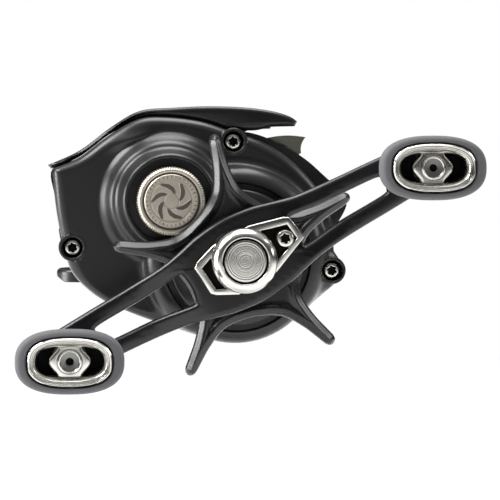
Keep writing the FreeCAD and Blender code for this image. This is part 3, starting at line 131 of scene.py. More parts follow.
class Tree:
    """The node tree of one material or world."""

    def __init__(self, owner: Union[bpy.types.Material, bpy.types.World]) -> None:
        """Empties the owner's tree.

        Args:
            owner: the material or world.
        """
        self.owner = owner
        owner.use_nodes = True
        owner.node_tree.nodes.clear()

    def node(self, kind: str, settings: Optional[dict] = None, sockets: Optional[dict] = None,
             out: Union[int, str] = 0) -> Optional[Sock]:
        """Adds a node.

        Args:
            kind: the node's type name.
            settings: properties to set first; "stops" fills a colour ramp.
            sockets: value or link for each input, by index or name.
            out: which output to return.

        Returns:
            The chosen output, or nothing for a node that has none.
        """
        item = self.owner.node_tree.nodes.new(kind)
        for key, value in (settings or {}).items():
            if key == "stops":
                self._fill_ramp(item.color_ramp, value)
            else:
                setattr(item, key, value)
        for key, value in (sockets or {}).items():
            if isinstance(value, Sock):
                self.owner.node_tree.links.new(value.socket, item.inputs[key])
            else:
                item.inputs[key].default_value = value
        return Sock(self, item.outputs[out]) if len(item.outputs) else None

    @staticmethod
    def _fill_ramp(ramp: bpy.types.ColorRamp, stops: Sequence[tuple[float, Colour]]) -> None:
        """Sets a ramp's stops.

        Args:
            ramp: the ramp.
            stops: (position, colour) pairs in order.
        """
        while len(ramp.elements) < len(stops):
            ramp.elements.new(0.5)
        for element, (position, colour) in zip(ramp.elements, stops):
            element.position = position
            element.color = (*colour, 1.0)

    def place(self) -> Sock:
        """The point's place on the piece."""
        return self.node("ShaderNodeTexCoord", out="Object")

    def axes(self) -> tuple[Sock, Sock, Sock]:
        """Splits the point's place.

        Returns:
            Its three coordinates, in metres.
        """
        item = self.node("ShaderNodeSeparateXYZ", {}, {0: self.place()})
        outputs = item.socket.node.outputs
        return Sock(self, outputs[0]), Sock(self, outputs[1]), Sock(self, outputs[2])

    def noise(self, scale: float, detail: float = 3.0, rough: float = 0.5,
              where: Optional[Sock] = None) -> Sock:
        """Soft cloud from nought to one.

        Args:
            scale: features per metre.
            detail: number of finer layers.
            rough: how strong the finer layers are.
            where: the coordinate, if it isn't the plain place.

        Returns:
            The noise value.
        """
        return self.node("ShaderNodeTexNoise", {}, {"Vector": where or self.place(), "Scale": scale,
                                                    "Detail": detail, "Roughness": rough})

    def mix(self, factor: Value, first: Union[Sock, Colour], second: Union[Sock, Colour]) -> Sock:
        """Mixes two colours.

        Args:
            factor: nought gives the first colour.
            first: a colour or a colour socket.
            second: a colour or a colour socket.

        Returns:
            The mixed colour.
        """
        parts = [c if isinstance(c, Sock) else (*c, 1.0) for c in (first, second)]
        return self.node("ShaderNodeMix", {"data_type": "RGBA"}, {0: factor, 6: parts[0], 7: parts[1]}, out=2)

    def edges(self, radius: float) -> tuple[Sock, Sock]:
        """Softens sharp edges.

        Args:
            radius: size of the rounding, in metres.

        Returns:
            The rounded normal and a mask that is one on edges.
        """
        soft = self.node("ShaderNodeBevel", {"samples": 4}, {"Radius": radius})
        flat = self.node("ShaderNodeNewGeometry", out="Normal")
        along = self.node("ShaderNodeVectorMath", {"operation": "DOT_PRODUCT"}, {0: soft, 1: flat}, out=1)
        return soft, ((1.0 - along) * 5.0).clamped()

    def bump(self, height: Sock, distance: float, strength: float = 1.0,
             normal: Optional[Sock] = None) -> Sock:
        """A bumped normal.

        Args:
            height: the height, nought to one.
            distance: metres of height for a value of one.
            strength: how much of it shows.
            normal: the normal to start from.

        Returns:
            The new normal.
        """
        sockets = {"Height": height, "Distance": distance, "Strength": strength}
        if normal is not None:
            sockets["Normal"] = normal
        return self.node("ShaderNodeBump", {}, sockets)

    def surface(self, sockets: dict) -> bpy.types.Material:
        """Ends the tree in a Principled shader.

        Args:
            sockets: value or link for each of the shader's inputs.

        Returns:
            The finished material.
        """
        shader = self.node("ShaderNodeBsdfPrincipled", {}, sockets)
        self.node("ShaderNodeOutputMaterial", {}, {"Surface": shader})
        return self.owner


# ------------------------------------------------------------------ finishes
@dataclass(frozen=True)
class Anodised:
    """Blasted and anodised aluminium: satin, with a fine grain and slightly polished edges that are painted
    lighter, partly as wear and partly as a painted edge highlight.
    """

    name: str
    tint: Colour
    wear_and_edge_highlight: Colour
    rough: float = 0.34
    grain: float = 5200.0
    round_mm: float = 0.35
    level: float = 0.3
    coat: float = 0.0

    def material(self) -> bpy.types.Material:
        """Builds the material.

        Returns:
            The new material.
        """
        tree = Tree(bpy.data.materials.new(self.name))
        soft, edge = tree.edges(self.round_mm * MM)
        cloud = tree.noise(70.0, 4.0)
        grain = tree.noise(self.grain, 2.0)
        base = tree.mix(cloud * 0.5, self.tint, tuple(c * 1.35 for c in self.tint))
        # edges painted lighter, broken up by noise: partly wear, partly a painted edge highlight
        base = tree.mix(edge * (tree.noise(900.0, 3.0) * 0.7), base, self.wear_and_edge_highlight)
        rough = self.rough + (cloud - 0.5) * 0.12 + (grain - 0.5) * 0.08 - edge * 0.06
        return tree.surface({"Base Color": base, "Roughness": rough, "Specular IOR Level": self.level,
                             "Coat Weight": self.coat, "Coat Roughness": 0.2,
                             "Normal": tree.bump(grain, 0.000012, 0.5, soft)})


@dataclass(frozen=True)
class Polished:
    """Bright plated or polished metal with faint smudges and hairline scratches."""

    name: str
    tint: Colour
    rough: float = 0.09
    round_mm: float = 0.2

    def material(self) -> bpy.types.Material:
        """Builds the material.

        Returns:
            The new material.
        """
        tree = Tree(bpy.data.materials.new(self.name))
        soft, edge = tree.edges(self.round_mm * MM)
        smudge = tree.noise(160.0, 5.0, 0.6)
        stretched = tree.node("ShaderNodeMapping", {}, {"Vector": tree.place(), "Rotation": (0.0, 0.6, 0.0),
                                                        "Scale": (1.0, 1.0, 14.0)})
        scratch = tree.noise(1800.0, 2.0, 0.5, stretched)
        base = tree.mix(smudge * 0.5, self.tint, tuple(c * 0.86 for c in self.tint))
        rough = self.rough + smudge * 0.07 + scratch * 0.04 + edge * 0.03
        return tree.surface({"Base Color": base, "Metallic": 1.0, "Roughness": rough,
                             "Normal": tree.bump(scratch, 0.000004, 0.4, soft)})


@dataclass(frozen=True)
class Turned:
    """Metal faced on a lathe, with fine rings about an axis that runs along the spool."""

    name: str
    tint: Colour
    axis: Point2
    rough: float = 0.24
    pitch: float = 5200.0
    depth: float = 0.00002

    def material(self) -> bpy.types.Material:
        """Builds the material.

        Returns:
            The new material.
        """
        tree = Tree(bpy.data.materials.new(self.name))
        soft, edge = tree.edges(0.15 * MM)
        x, _, z = tree.axes()
        dx, dz = x - self.axis[0] * MM, z - self.axis[1] * MM
        radius = (dx * dx + dz * dz) ** 0.5
        rings = tree.node("ShaderNodeTexNoise", {"noise_dimensions": "1D"},
                          {"W": radius * self.pitch, "Scale": 1.0, "Detail": 2.0})
        smudge = tree.noise(240.0, 3.0)
        base = tree.mix((rings * 0.6 + smudge * 0.3).clamped(), self.tint, tuple(c * 0.72 for c in self.tint))
        return tree.surface({"Base Color": base, "Metallic": 1.0,
                             "Roughness": self.rough + rings * 0.16 + edge * 0.04,
                             "Normal": tree.bump(rings, self.depth, 0.8, soft)})


@dataclass(frozen=True)
class Moulded:
    """Moulded rubber or plastic with a pebbled skin, its edges painted lighter as a painted edge highlight.
    """

    name: str
    tint: Colour
    rough: float = 0.6
    pebble: float = 3200.0
    depth: float = 0.00004
    level: float = 0.4

    def material(self) -> bpy.types.Material:
        """Builds the material.

        Returns:
            The new material.
        """
        tree = Tree(bpy.data.materials.new(self.name))
        soft, edge = tree.edges(0.25 * MM)
        skin = tree.node("ShaderNodeTexVoronoi", {"feature": "SMOOTH_F1"},
                         {"Vector": tree.place(), "Scale": self.pebble})
        dust = tree.noise(130.0, 5.0, 0.65)
        base = tree.mix(dust * 0.6, self.tint, tuple(c * 1.6 + 0.001 for c in self.tint))
        # every edge painted lighter: a painted edge highlight
        base = tree.mix(edge * 0.3, base, tuple(c * 1.9 + 0.002 for c in self.tint))
        rough = self.rough + (dust - 0.5) * 0.2 + (skin - 0.5) * 0.1
        return tree.surface({"Base Color": base, "Roughness": rough, "Specular IOR Level": self.level,
                             "Normal": tree.bump(skin, self.depth, 0.6, soft)})


@dataclass(frozen=True)
class Machined:
    """Cut brass or steel with straight tool marks."""

    name: str
    tint: Colour
    rough: float = 0.3

    def material(self) -> bpy.types.Material:
        """Builds the material.

        Returns:
            The new material.
        """
        tree = Tree(bpy.data.materials.new(self.name))
        soft, _ = tree.edges(0.12 * MM)
        marks = tree.node("ShaderNodeMapping", {}, {"Vector": tree.place(), "Scale": (1.0, 12.0, 1.0)})
        lines = tree.noise(900.0, 3.0, 0.6, marks)
        base = tree.mix(tree.noise(220.0, 4.0) * 0.7, self.tint, tuple(c * 0.7 for c in self.tint))
        return tree.surface({"Base Color": base, "Metallic": 1.0, "Roughness": self.rough + lines * 0.18,
                             "Normal": tree.bump(lines, 0.000015, 0.5, soft)})


class Finish(Enum):
    """Every finish on the reel."""

    BODY = Anodised("body_black", (0.006, 0.006, 0.0065), (0.04, 0.04, 0.04), 0.30)
    HOOD = Anodised("hood_black", (0.0055, 0.0055, 0.006), (0.045, 0.045, 0.045), 0.26)
    FRAME = Anodised("frame_black", (0.005, 0.005, 0.0055), (0.05, 0.05, 0.05), 0.31)
    PALM = Anodised("palm_black", (0.006, 0.006, 0.0065), (0.04, 0.04, 0.04), 0.33, round_mm=0.5)
    HANDLE = Anodised("handle_black", (0.004, 0.004, 0.0045), (0.05, 0.05, 0.05), 0.2, round_mm=0.5)
    STAR = Anodised("star_black", (0.005, 0.005, 0.0055), (0.04, 0.04, 0.04), 0.26, round_mm=0.3)
    SPOOL = Anodised("spool_grey", (0.10, 0.10, 0.105), (0.4, 0.4, 0.4), 0.26)
    CHAMPAGNE = Turned("champagne_face", (0.43, 0.39, 0.33), SPOOL_AXIS, 0.3, 4200.0)
    CHAMPAGNE_DARK = Moulded("champagne_fill", (0.035, 0.030, 0.024), 0.5)
    NUT_FACE = Turned("nut_face", (0.46, 0.45, 0.42), CRANK_AXIS, 0.16, 3600.0, 0.0001)
    CHROME = Polished("bright_plate", (0.50, 0.49, 0.46), 0.14)
    BAR = Polished("thumb_plate", (0.20, 0.195, 0.16), 0.24)
    HOLE_FACE = Polished("boss_face", (0.16, 0.16, 0.15), 0.3)
    SCREW = Polished("screw_steel", (0.50, 0.49, 0.46), 0.18)
    SILVER = Anodised("thumb_silver", (0.30, 0.29, 0.25), (0.6, 0.6, 0.58), 0.3)
    GRIP = Moulded("grip_rubber", (0.014, 0.014, 0.0135), 0.7, level=0.22)
    # near-black and barely reflecting, laid in hollows, grooves and behind openings: painted shade
    PIT = Moulded("shadow_black", (0.003, 0.003, 0.003), 0.8, level=0.05)
    POLYMER = Moulded("moulded_black", (0.02, 0.02, 0.022), 0.5, 1800.0)
    SEAL = Moulded("seal_rubber", (0.012, 0.012, 0.012), 0.7)
    BRASS = Machined("cut_brass", (0.66, 0.47, 0.20))
    STEEL = Machined("ground_steel", (0.52, 0.52, 0.53), 0.24)
    MAGNET = Machined("magnet_nickel", (0.45, 0.44, 0.42), 0.3)

    def material(self) -> bpy.types.Material:
        """The finish's material, built the first time it is asked for."""
        return bpy.data.materials.get(self.value.name) or self.value.material()


# ------------------------------------------------------------------ mesh making
def smooth_path(points: Sequence[Point2], steps: int = 8, closed: bool = False) -> list[Point2]:
    """Runs a smooth curve through points.

    Args:
        points: the points to pass through.
        steps: samples from one point to the next.
        closed: whether the curve comes back to its start.

    Returns:
        The sampled curve, without a repeated last point when it is closed.
    """
    count = len(points)
    spans = count if closed else count - 1
    path = []
    for i in range(spans):
        if closed:
            a, b, c, d = (points[(i + k) % count] for k in (-1, 0, 1, 2))
        else:
            a, b, c, d = (points[min(max(i + k, 0), count - 1)] for k in (-1, 0, 1, 2))
        for s in range(steps):
            t = s / steps
            point = []
            for k in (0, 1):
                square = 2 * a[k] - 5 * b[k] + 4 * c[k] - d[k]
                cube = 3 * b[k] - a[k] - 3 * c[k] + d[k]
                point.append(0.5 * (2 * b[k] + (c[k] - a[k]) * t + square * t * t + cube * t ** 3))
            path.append(tuple(point))
    if not closed:
        path.append(tuple(points[-1]))
    return path


def ray_reach(origin: Point2, angle: float, loop: Sequence[Point2]) -> float:
    """How far a ray goes before it last crosses a closed loop.

    Args:
        origin: where the ray starts.
        angle: its direction, in radians.
        loop: the loop's points.

    Returns:
        The distance, or nought if it misses.
    """
    dx, dz = math.cos(angle), math.sin(angle)
    best = 0.0
    for (ax, az), (bx, bz) in zip(loop, loop[1:] + loop[:1]):
        ex, ez = bx - ax, bz - az
        cross = dx * ez - dz * ex
        if abs(cross) < 1e-12:
            continue
        wx, wz = ax - origin[0], az - origin[1]
        along = (wx * ez - wz * ex) / cross
        part = (wx * dz - wz * dx) / cross
        if -1e-9 <= part <= 1 + 1e-9 and along > best:
            best = along
    return best


def superellipse(long: float, short: float, power: float = 2.5, count: int = 64) -> list[Point2]:
    """Points round a soft-cornered oval.

    Args:
        long: full width.
        short: full height.
        power: two is an ellipse; more is squarer.
        count: number of points.

    Returns:
        The points, starting on the positive side.
    """
    points = []
    for i in range(count):
        a = math.tau * i / count
        c, s = math.cos(a), math.sin(a)
        points.append((long / 2 * math.copysign(abs(c) ** (2 / power), c),
                       short / 2 * math.copysign(abs(s) ** (2 / power), s)))
    return points


def raised(profile: Sequence[Point2], out: float) -> list[Point2]:
    """Moves a profile of (radius, out) pairs out by a distance."""
    return [(r, out + o) for r, o in profile]


def on_handle(u: float, v: float) -> Point2:
    """Turns a place along and across the handle into x and z."""
    c, s = math.cos(HANDLE_ANGLE), math.sin(HANDLE_ANGLE)
    return CRANK_AXIS[0] + u * c - v * s, CRANK_AXIS[1] + u * s + v * c


class Pile:
    """Points and faces of one piece, gathered before they become a mesh."""

    def __init__(self) -> None:
        """Starts empty."""
        self.points: list[Point3] = []
        self.faces: list[list[int]] = []
        self.marks: list[int] = []
        self.finishes: list[Finish] = []

    def _mark(self, finish: Finish) -> int:
        """Finds a finish's slot on this piece, and adds one where there is none.

        Args:
            finish: the finish.

        Returns:
            The slot's number.
        """
        if finish not in self.finishes:
            self.finishes.append(finish)
        return self.finishes.index(finish)

    def loft(self, rings: Sequence[Sequence[Point3]], finish: Finish, cap_first: bool = False,
             cap_last: bool = False, closed: bool = True) -> None:
        """Skins a row of rings that have the same number of points.

        Args:
            rings: the rings.
            finish: the finish of the skin.
            cap_first: whether to close the first ring.
            cap_last: whether to close the last ring.
            closed: whether each ring comes back to its start.
        """
        start, count = len(self.points), len(rings[0])
        mark = self._mark(finish)
        for ring in rings:
            self.points.extend(ring)
        spans = count if closed else count - 1
        for i in range(len(rings) - 1):
            for j in range(spans):
                a, b = start + i * count + j, start + i * count + (j + 1) % count
                self.faces.append([a, b, b + count, a + count])
                self.marks.append(mark)
        for wanted, first in ((cap_first, start), (cap_last, start + (len(rings) - 1) * count)):
            if wanted:
                self.faces.append(list(range(first, first + count)))
                self.marks.append(mark)

    def turned(self, axis: Point2, profile: Sequence[Point2], finish: Finish, steps: int = 96,
               wave: Optional[Callable[[float, float, float], float]] = None) -> None:
        """Turns a profile about an axis along the spool.

        Args:
            axis: x and z of the axis.
            profile: (radius, out) pairs.
            finish: the finish.
            steps: number of sides.
            wave: changes a radius, given angle, radius and out.
        """
        rings = []
        for r, out in profile:
            ring = []
            for j in range(steps):
                a = math.tau * j / steps
                reach = wave(a, r, out) if wave else r
                ring.append((axis[0] + reach * math.cos(a), out, axis[1] + reach * math.sin(a)))
            rings.append(ring)
        self.loft(rings, finish, profile[0][0] < 1e-3, profile[-1][0] < 1e-3)

    def plate(self, loops: Sequence[Sequence[Point2]], out0: float, out1: float, bevel: float, finish: Finish,
              cuts: Sequence[tuple[Point2, Point2]] = (),
              bend: Optional[Callable[[float, float], float]] = None, bevel_steps: int = 3) -> None:
        """Adds a flat plate with rounded edges.

        Args:
            loops: the outline, then any windows, as x and z.
            out0: inner face.
            out1: outer face.
            bevel: radius of the rounded edges.
            finish: the finish.
            cuts: lines (point, normal) where extra points are wanted before bending.
            bend: how much to move a point along out, given x and z.
            bevel_steps: segments of each rounded edge.
        """
        curve = bpy.data.curves.new("outline", "CURVE")
        curve.dimensions, curve.fill_mode = "2D", "BOTH"
        curve.extrude, curve.bevel_depth = (out1 - out0) / 2 - bevel, bevel
        curve.bevel_resolution, curve.offset = bevel_steps, -bevel
        for loop in loops:
            spline = curve.splines.new("POLY")
            spline.points.add(len(loop) - 1)
            for point, (x, z) in zip(spline.points, loop):
                point.co = (x, z, 0.0, 1.0)
            spline.use_cyclic_u = True
        holder = bpy.data.objects.new("outline", curve)
        mesh = bpy.data.meshes.new_from_object(holder)
        shape = bmesh.new()
        shape.from_mesh(mesh)
        bmesh.ops.remove_doubles(shape, verts=shape.verts, dist=1e-4)
        for (px, pz), (nx, nz) in cuts:
            bmesh.ops.bisect_plane(shape, geom=shape.verts[:] + shape.edges[:] + shape.faces[:],
                                   plane_co=(px, pz, 0), plane_no=(nx, nz, 0))
        start, mark, middle = len(self.points), self._mark(finish), (out0 + out1) / 2
        shape.verts.index_update()
        for vert in shape.verts:
            x, z, up = vert.co
            self.points.append((x, middle + up + (bend(x, z) if bend else 0.0), z))
        for face in shape.faces:
            self.faces.append([start + v.index for v in face.verts])
            self.marks.append(mark)
        shape.free()
        bpy.data.meshes.remove(mesh)
        bpy.data.objects.remove(holder)
        bpy.data.curves.remove(curve)

    def become(self, name: str, sharp: float = 38.0) -> bpy.types.Object:
        """Makes the piece.

        Args:
            name: the piece's name.
            sharp: edges that turn by more degrees than this stay crisp.

        Returns:
            The new object.
        """
        mesh = bpy.data.meshes.new(name)
        mesh.from_pydata([(x * MM, -out * MM, z * MM) for x, out, z in self.points], [], self.faces)
        for finish in self.finishes:
            mesh.materials.append(finish.material())
        for polygon, mark in zip(mesh.polygons, self.marks):
            polygon.material_index = mark
        tidy = bmesh.new()
        tidy.from_mesh(mesh)
        bmesh.ops.recalc_face_normals(tidy, faces=tidy.faces)
        tidy.to_mesh(mesh)
        tidy.free()
        mesh.shade_smooth()
        mesh.set_sharp_from_angle(angle=math.radians(sharp))
        piece = bpy.data.objects.new(name, mesh)
        bpy.context.scene.collection.objects.link(piece)
        return piece


class Assembly:
    """One group of the reel's pieces."""

    def build(self) -> None:
        """Makes the group's own pieces."""

    def dress(self) -> None:
        """Gives the group's CAD nodes their finishes."""

    @staticmethod
    def fit(piece: bpy.types.Object, body: str, slot: str, *nodes: str) -> None:
        """Puts a piece on its body in place of CAD nodes.

        Args:
            piece: the piece.
            body: the body it rides on.
            slot: the record's material slot; not used.
            nodes: the CAD nodes it stands for.
        """
        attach(piece, body)
        if nodes:
            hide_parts(*nodes)
        LOG.info("%s rides on %s, %d faces", piece.name, body, len(piece.data.polygons))

    @staticmethod
    def coat(finish: Finish, *nodes: str) -> None:
        """Gives CAD nodes a finish.

        Args:
            finish: the finish.
            nodes: the nodes' names.
        """
        for node in nodes:
            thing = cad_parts[node]
            if not thing.material_slots:
                thing.data.materials.append(finish.material())
            for place in thing.material_slots:
                place.material = finish.material()
            LOG.info("%s finished in %s", node, finish.value.name)


# ------------------------------------------------------------------ handle side cover
@dataclass
class HandleSideCover(Assembly):
    """The sculpted cover with the round gear housing, the spool boss and the screw wells."""

    seat: float = 15.25
    field_out: float = 20.5
    edge_round: float = 2.6
    edge_depth: float = 0.9
    edge_rows: int = 64
    wall_rows: int = 6
    housing_r: float = 20.6
    ear: Point2 = (35.2, 3.2)
    ear_r: float = 3.1
    ear_steps: int = 24
    well_r: float = 2.45
    well_floor: float = 17.7
    swell: Point2 = (-12.6, 34.6)
    swell_along: Point2 = (0.94, 0.34)
    swell_size: Point2 = (4.2, 1.3)
    swell_rise: float = 0.9
    spokes: int = 480
    screws: tuple[Point2, ...] = ((11.45, 34.1), (-26.9, 8.9), (35.2, 3.2))
    dome: tuple[Point2, ...] = ((9.2, 28.6), (9.2, 27.1), (9.8, 26.75), (11.7, 26.4), (14.0, 25.9),
                                (15.6, 25.5), (16.0, 25.3), (16.15, 25.0), (16.2, 23.9), (16.25, 23.6),
                                (17.5, 23.6), (17.55, 23.9), (17.6, 24.6), (17.75, 24.85), (18.3, 24.8),
                                (19.4, 24.4), (20.4, 23.7), (21.0, 23.0), (21.5, 22.1), (21.9, 21.3),
                                (22.4, 20.8), (23.2, 20.55), (24.0, 20.5))
    boss: tuple[Point2, ...] = ((16.8, 20.2), (16.4, 20.6), (15.7, 21.0), (15.0, 21.8), (14.4, 22.9),
                                (13.9, 23.8), (13.5, 24.25), (13.0, 24.45), (12.6, 24.7), (12.1, 25.6),
                                (11.6, 26.9), (11.2, 27.9), (10.9, 28.5), (10.6, 28.72), (10.25, 28.75),
                                (10.0, 28.62), (9.9, 28.3), (9.9, 26.6), (6.5, 26.6), (6.5, 29.6),
                                (4.6, 29.6))
    well_lip: tuple[Point2, ...] = ((0.0, -0.25), (0.08, -0.02), (0.25, 0.1), (0.5, 0.1), (0.75, -0.05),
                                    (0.85, -0.6), (0.85, -2.0))
    upper: tuple[Point2, ...] = ((-31.6, 27.6), (-25.0, 30.4), (-17.5, 36.0), (-10.8, 39.5), (-4.0, 39.9),
                                 (4.0, 38.9), (11.0, 36.6), (18.0, 34.3), (25.0, 30.1), (31.6, 23.3),
                                 (35.2, 17.0), (35.6, 11.5), (35.9, 6.5))
    corner: Point2 = (24.0, -6.0)
    lower: tuple[Point2, ...] = ((4.0, -12.45), (-5.0, -9.7), (-14.0, -6.4), (-21.0, -2.9), (-26.6, 2.4),
                                 (-28.7, 8.0), (-30.2, 15.0), (-31.0, 21.0))

    def _rim(self, angle: float, main: Sequence[Point2]) -> float:
        """Distance from the crank axis to the cover's edge.

        Args:
            angle: direction, in radians.
            main: the sampled main outline.

        Returns:
            The distance.
        """
        reach = max(self.housing_r, ray_reach(CRANK_AXIS, angle, main))
        ex, ez = self.ear[0] - CRANK_AXIS[0], self.ear[1] - CRANK_AXIS[1]
        for i in range(self.ear_steps + 1):
            t = i / self.ear_steps
            cx, cz, r = ex * t, ez * t, self.housing_r + (self.ear_r - self.housing_r) * t
            along = cx * math.cos(angle) + cz * math.sin(angle)
            across = cx * math.sin(angle) - cz * math.cos(angle)
            if abs(across) < r:
                reach = max(reach, along + math.sqrt(r * r - across * across))
        return reach

    def _height(self, x: float, z: float, r: float) -> float:
        """Out of the cover's face.

        Args:
            x: place along the reel.
            z: height.
            r: distance from the crank axis.

        Returns:
            How far out the face is.
        """
        out = self.field_out
        if r < self.dome[-1][0]:
            for (r0, o0), (r1, o1) in zip(self.dome, self.dome[1:]):
                if r0 <= r <= r1:
                    out = o0 + (o1 - o0) * (r - r0) / max(r1 - r0, 1e-6)
                    break
        dx, dz = x - self.swell[0], z - self.swell[1]
        c, s = self.swell_along
        du, dv = dx * c + dz * s, dz * c - dx * s
        out += self.swell_rise * math.exp(-(du / self.swell_size[0]) ** 2 - (dv / self.swell_size[1]) ** 2)
        for sx, sz in self.screws:
            if math.hypot(x - sx, z - sz) < self.well_r + 0.4:
                out = self.well_floor
        return out

    def build(self) -> None:
        """Makes the cover in one piece."""
        cover = Pile()
        main = smooth_path(self.upper) + [self.corner] + smooth_path(self.lower + self.upper[:1])[:-1]
        radii = [r for r, _ in self.dome]
        beyond = self.edge_rows
        rings: list[list[Point3]] = [[] for _ in range(len(radii) + beyond + self.wall_rows)]
        for j in range(self.spokes):
            a = math.tau * j / self.spokes
            rim = self._rim(a, main)
            ca, sa = math.cos(a), math.sin(a)
            last = min(radii[-1], rim - 0.2)
            spots = [min(r, rim) for r in radii]
            spots += [last + (rim - last) * (i + 1) / beyond for i in range(beyond)]
            spots = [max(spots[:i + 1]) for i in range(len(spots))]
            for i, r in enumerate(spots):
                x, z = CRANK_AXIS[0] + r * ca, CRANK_AXIS[1] + r * sa
                out = self._height(x, z, r)
                inside = rim - r
                if inside < self.edge_round:
                    drop = 1 - inside / self.edge_round
                    out -= self.edge_round * (1 - math.sqrt(max(0.0, 1 - drop * drop))) * self.edge_depth
                rings[i].append((x, max(out, self.seat + 1.0), z))
            x, z = CRANK_AXIS[0] + rim * ca, CRANK_AXIS[1] + rim * sa
            top = rings[len(spots) - 1][-1][1]
            for i in range(self.wall_rows):
                rings[len(spots) + i].append((x, top + (self.seat - top) * (i + 1) / self.wall_rows, z))
        cover.loft(rings, Finish.BODY)
        cover.turned(SPOOL_AXIS, self.boss, Finish.BODY, 160)
        seat, wide = self.well_floor + 0.3, self.well_r
        lip = [(wide + r, self.field_out + out) for r, out in self.well_lip]
        bottom = [(0, seat - 0.05), (wide, seat - 0.05), (wide + 0.01, seat + 0.2)]
        for axis in self.screws:
            cover.turned(axis, [(wide, seat)] + lip, Finish.BODY, 48)
            # the well floor is near-black: painted shade
            cover.turned(axis, bottom, Finish.PIT, 48)
        self.fit(cover.become("handle_side_cover"), "frame", "black_anodised", "gear_side_cover")
        for i, axis in enumerate(self.screws):
            self._screw(axis, seat + 0.02, i)

    def _screw(self, axis: Point2, seat: float, number: int) -> None:
        """Makes one button-head screw with a six-lobed socket.

        Args:
            axis: x and z of the screw.
            seat: out of the head's underside.
            number: the screw's number.
        """
        screw = Pile()
        screw_head(screw, axis, seat, 2.05, 1.35, 0.4 + number)
        nodes = () if number else ("gear_cover_screws",)
        self.fit(screw.become(f"cover_screw_{number + 1}", 30.0), "frame", "chrome", *nodes)


def screw_head(pile: Pile, axis: Point2, seat: float, r: float, tall: float, turn: float) -> None:
    """Adds a domed screw head with a six-lobed socket.

    Args:
        pile: where to add it.
        axis: x and z of the screw.
        seat: out of the head's underside.
        r: radius of the head.
        tall: height of the head.
        turn: how the socket is turned, in radians.
    """
    top = seat + tall

    def lobes(angle: float, radius: float, out: float) -> float:
        """Waves the socket's wall into six lobes.

        Args:
            angle: direction, in radians.
            radius: the plain radius.
            out: how far out the point is.

        Returns:
            The waved radius.
        """
        if radius > 0.56 * r or out > top - 0.02 and radius > 0.54 * r:
            return radius
        return radius * (1 + 0.13 * math.cos(6 * (angle + turn)))

    head = [(r, seat), (r, seat + tall * 0.45), (r * 0.95, seat + tall * 0.68), (r * 0.84, top - 0.14),
            (r * 0.7, top - 0.03), (r * 0.6, top), (r * 0.52, top - 0.03), (r * 0.5, top - 0.12),
            (r * 0.5, top - 0.8)]
    pile.turned(axis, head, Finish.SCREW, 72, lobes)
    # the socket's floor is near-black: painted shade
    pile.turned(axis, [(r * 0.6, top - 0.75), (0, top - 0.7)], Finish.PIT, 48)


# ------------------------------------------------------------------ cast control
@dataclass
class CastControl(Assembly):
    """The knurled spool tension cap with its stepped, turned face."""

    r: float = 8.1
    base: float = 27.1
    top: float = 32.3
    ridges: int = 84
    ridge_depth: float = 0.34
    knurl_wide: float = 0.75
    inlay: Point2 = (-0.1, 0.035)
    ticks: int = 36
    blades: int = 6
    groove: tuple[Point2, ...] = ((6.75, -0.26), (6.72, -0.55), (6.3, -0.55))
    face: tuple[Point2, ...] = ((6.3, -0.55), (6.25, -0.12), (6.1, 0.0), (5.0, 0.0), (4.95, -0.16),
                                (4.7, -0.16), (4.65, 0.0), (2.0, 0.02), (1.95, -0.14), (1.7, -0.14),
                                (1.65, 0.02), (0.0, 0.04))
    tick: tuple[Point3, ...] = ((5.35, -0.016, 0.016), (5.95, -0.016, 0.016))
    blade: tuple[Point3, ...] = ((1.9, 0.0, 0.30), (2.6, 0.16, 0.62), (3.3, 0.38, 0.86), (4.0, 0.66, 1.06),
                                 (4.7, 1.0, 1.14))

    def _inlay(self, cap: Pile, turn: float, rows: Sequence[Point3]) -> None:
        """Adds a thin dark inlay to the face.

        Args:
            cap: the piece to add it to.
            turn: the inlay's direction, in radians.
            rows: radius, first angle and last angle of each row across it.
        """
        low, high = [], []
        for r, first, last in rows:
            for ring, lift in zip((low, high), self.inlay):
                ring.append([(SPOOL_AXIS[0] + r * math.cos(turn + a), self.top + lift,
                              SPOOL_AXIS[1] + r * math.sin(turn + a)) for a in (first, last)])
        around = [pair[0] for pair in high] + [pair[1] for pair in reversed(high)]
        under = [pair[0] for pair in low] + [pair[1] for pair in reversed(low)]
        cap.loft([under, around], Finish.CHAMPAGNE_DARK)
        cap.loft(high, Finish.CHAMPAGNE_DARK, closed=False)

    def build(self) -> None:
        """Makes the cap."""
        cap = Pile()
        r, o0, o1 = self.r, self.base, self.top

        def knurl(angle: float, radius: float, out: float) -> float:
            """Cuts fine ridges round the rim.

            Args:
                angle: direction, in radians.
                radius: the plain radius.
                out: how far out the point is; not used.

            Returns:
                The ridged radius.
            """
            if radius < r - self.knurl_wide:
                return radius
            saw = abs((angle * self.ridges / math.tau) % 1.0 - 0.5) * 2
            return radius - self.ridge_depth * saw * min(1.0, (radius - (r - self.knurl_wide)) / 0.5)

        rim = [(6.55, o0), (r - 0.5, o0), (r, o0 + 0.4), (r, o1 - 1.0), (r - 0.15, o1 - 0.62),
               (r - 0.5, o1 - 0.35), (r - 0.78, o1 - 0.22), (6.95, o1 - 0.2), (6.75, o1 - 0.26)]
        cap.turned(SPOOL_AXIS, rim, Finish.CHAMPAGNE, self.ridges * 6, knurl)
        cap.turned(SPOOL_AXIS, raised(self.groove, o1), Finish.CHAMPAGNE_DARK, 96)
        cap.turned(SPOOL_AXIS, raised(self.face, o1), Finish.CHAMPAGNE, 120)
        for i in range(self.ticks):
            self._inlay(cap, math.tau * i / self.ticks, self.tick)
        for i in range(self.blades):
            self._inlay(cap, math.tau * i / self.blades, self.blade)
        self.fit(cap.become("cast_control_cap", 30.0), "cast_control_knob", "champagne_metal",
                 "cast_control_knob")

    def dress(self) -> None:
        """Finishes the parts under the cap."""
        self.coat(Finish.SEAL, "cast_control_o_ring")
        self.coat(Finish.POLYMER, "cast_control_shim")


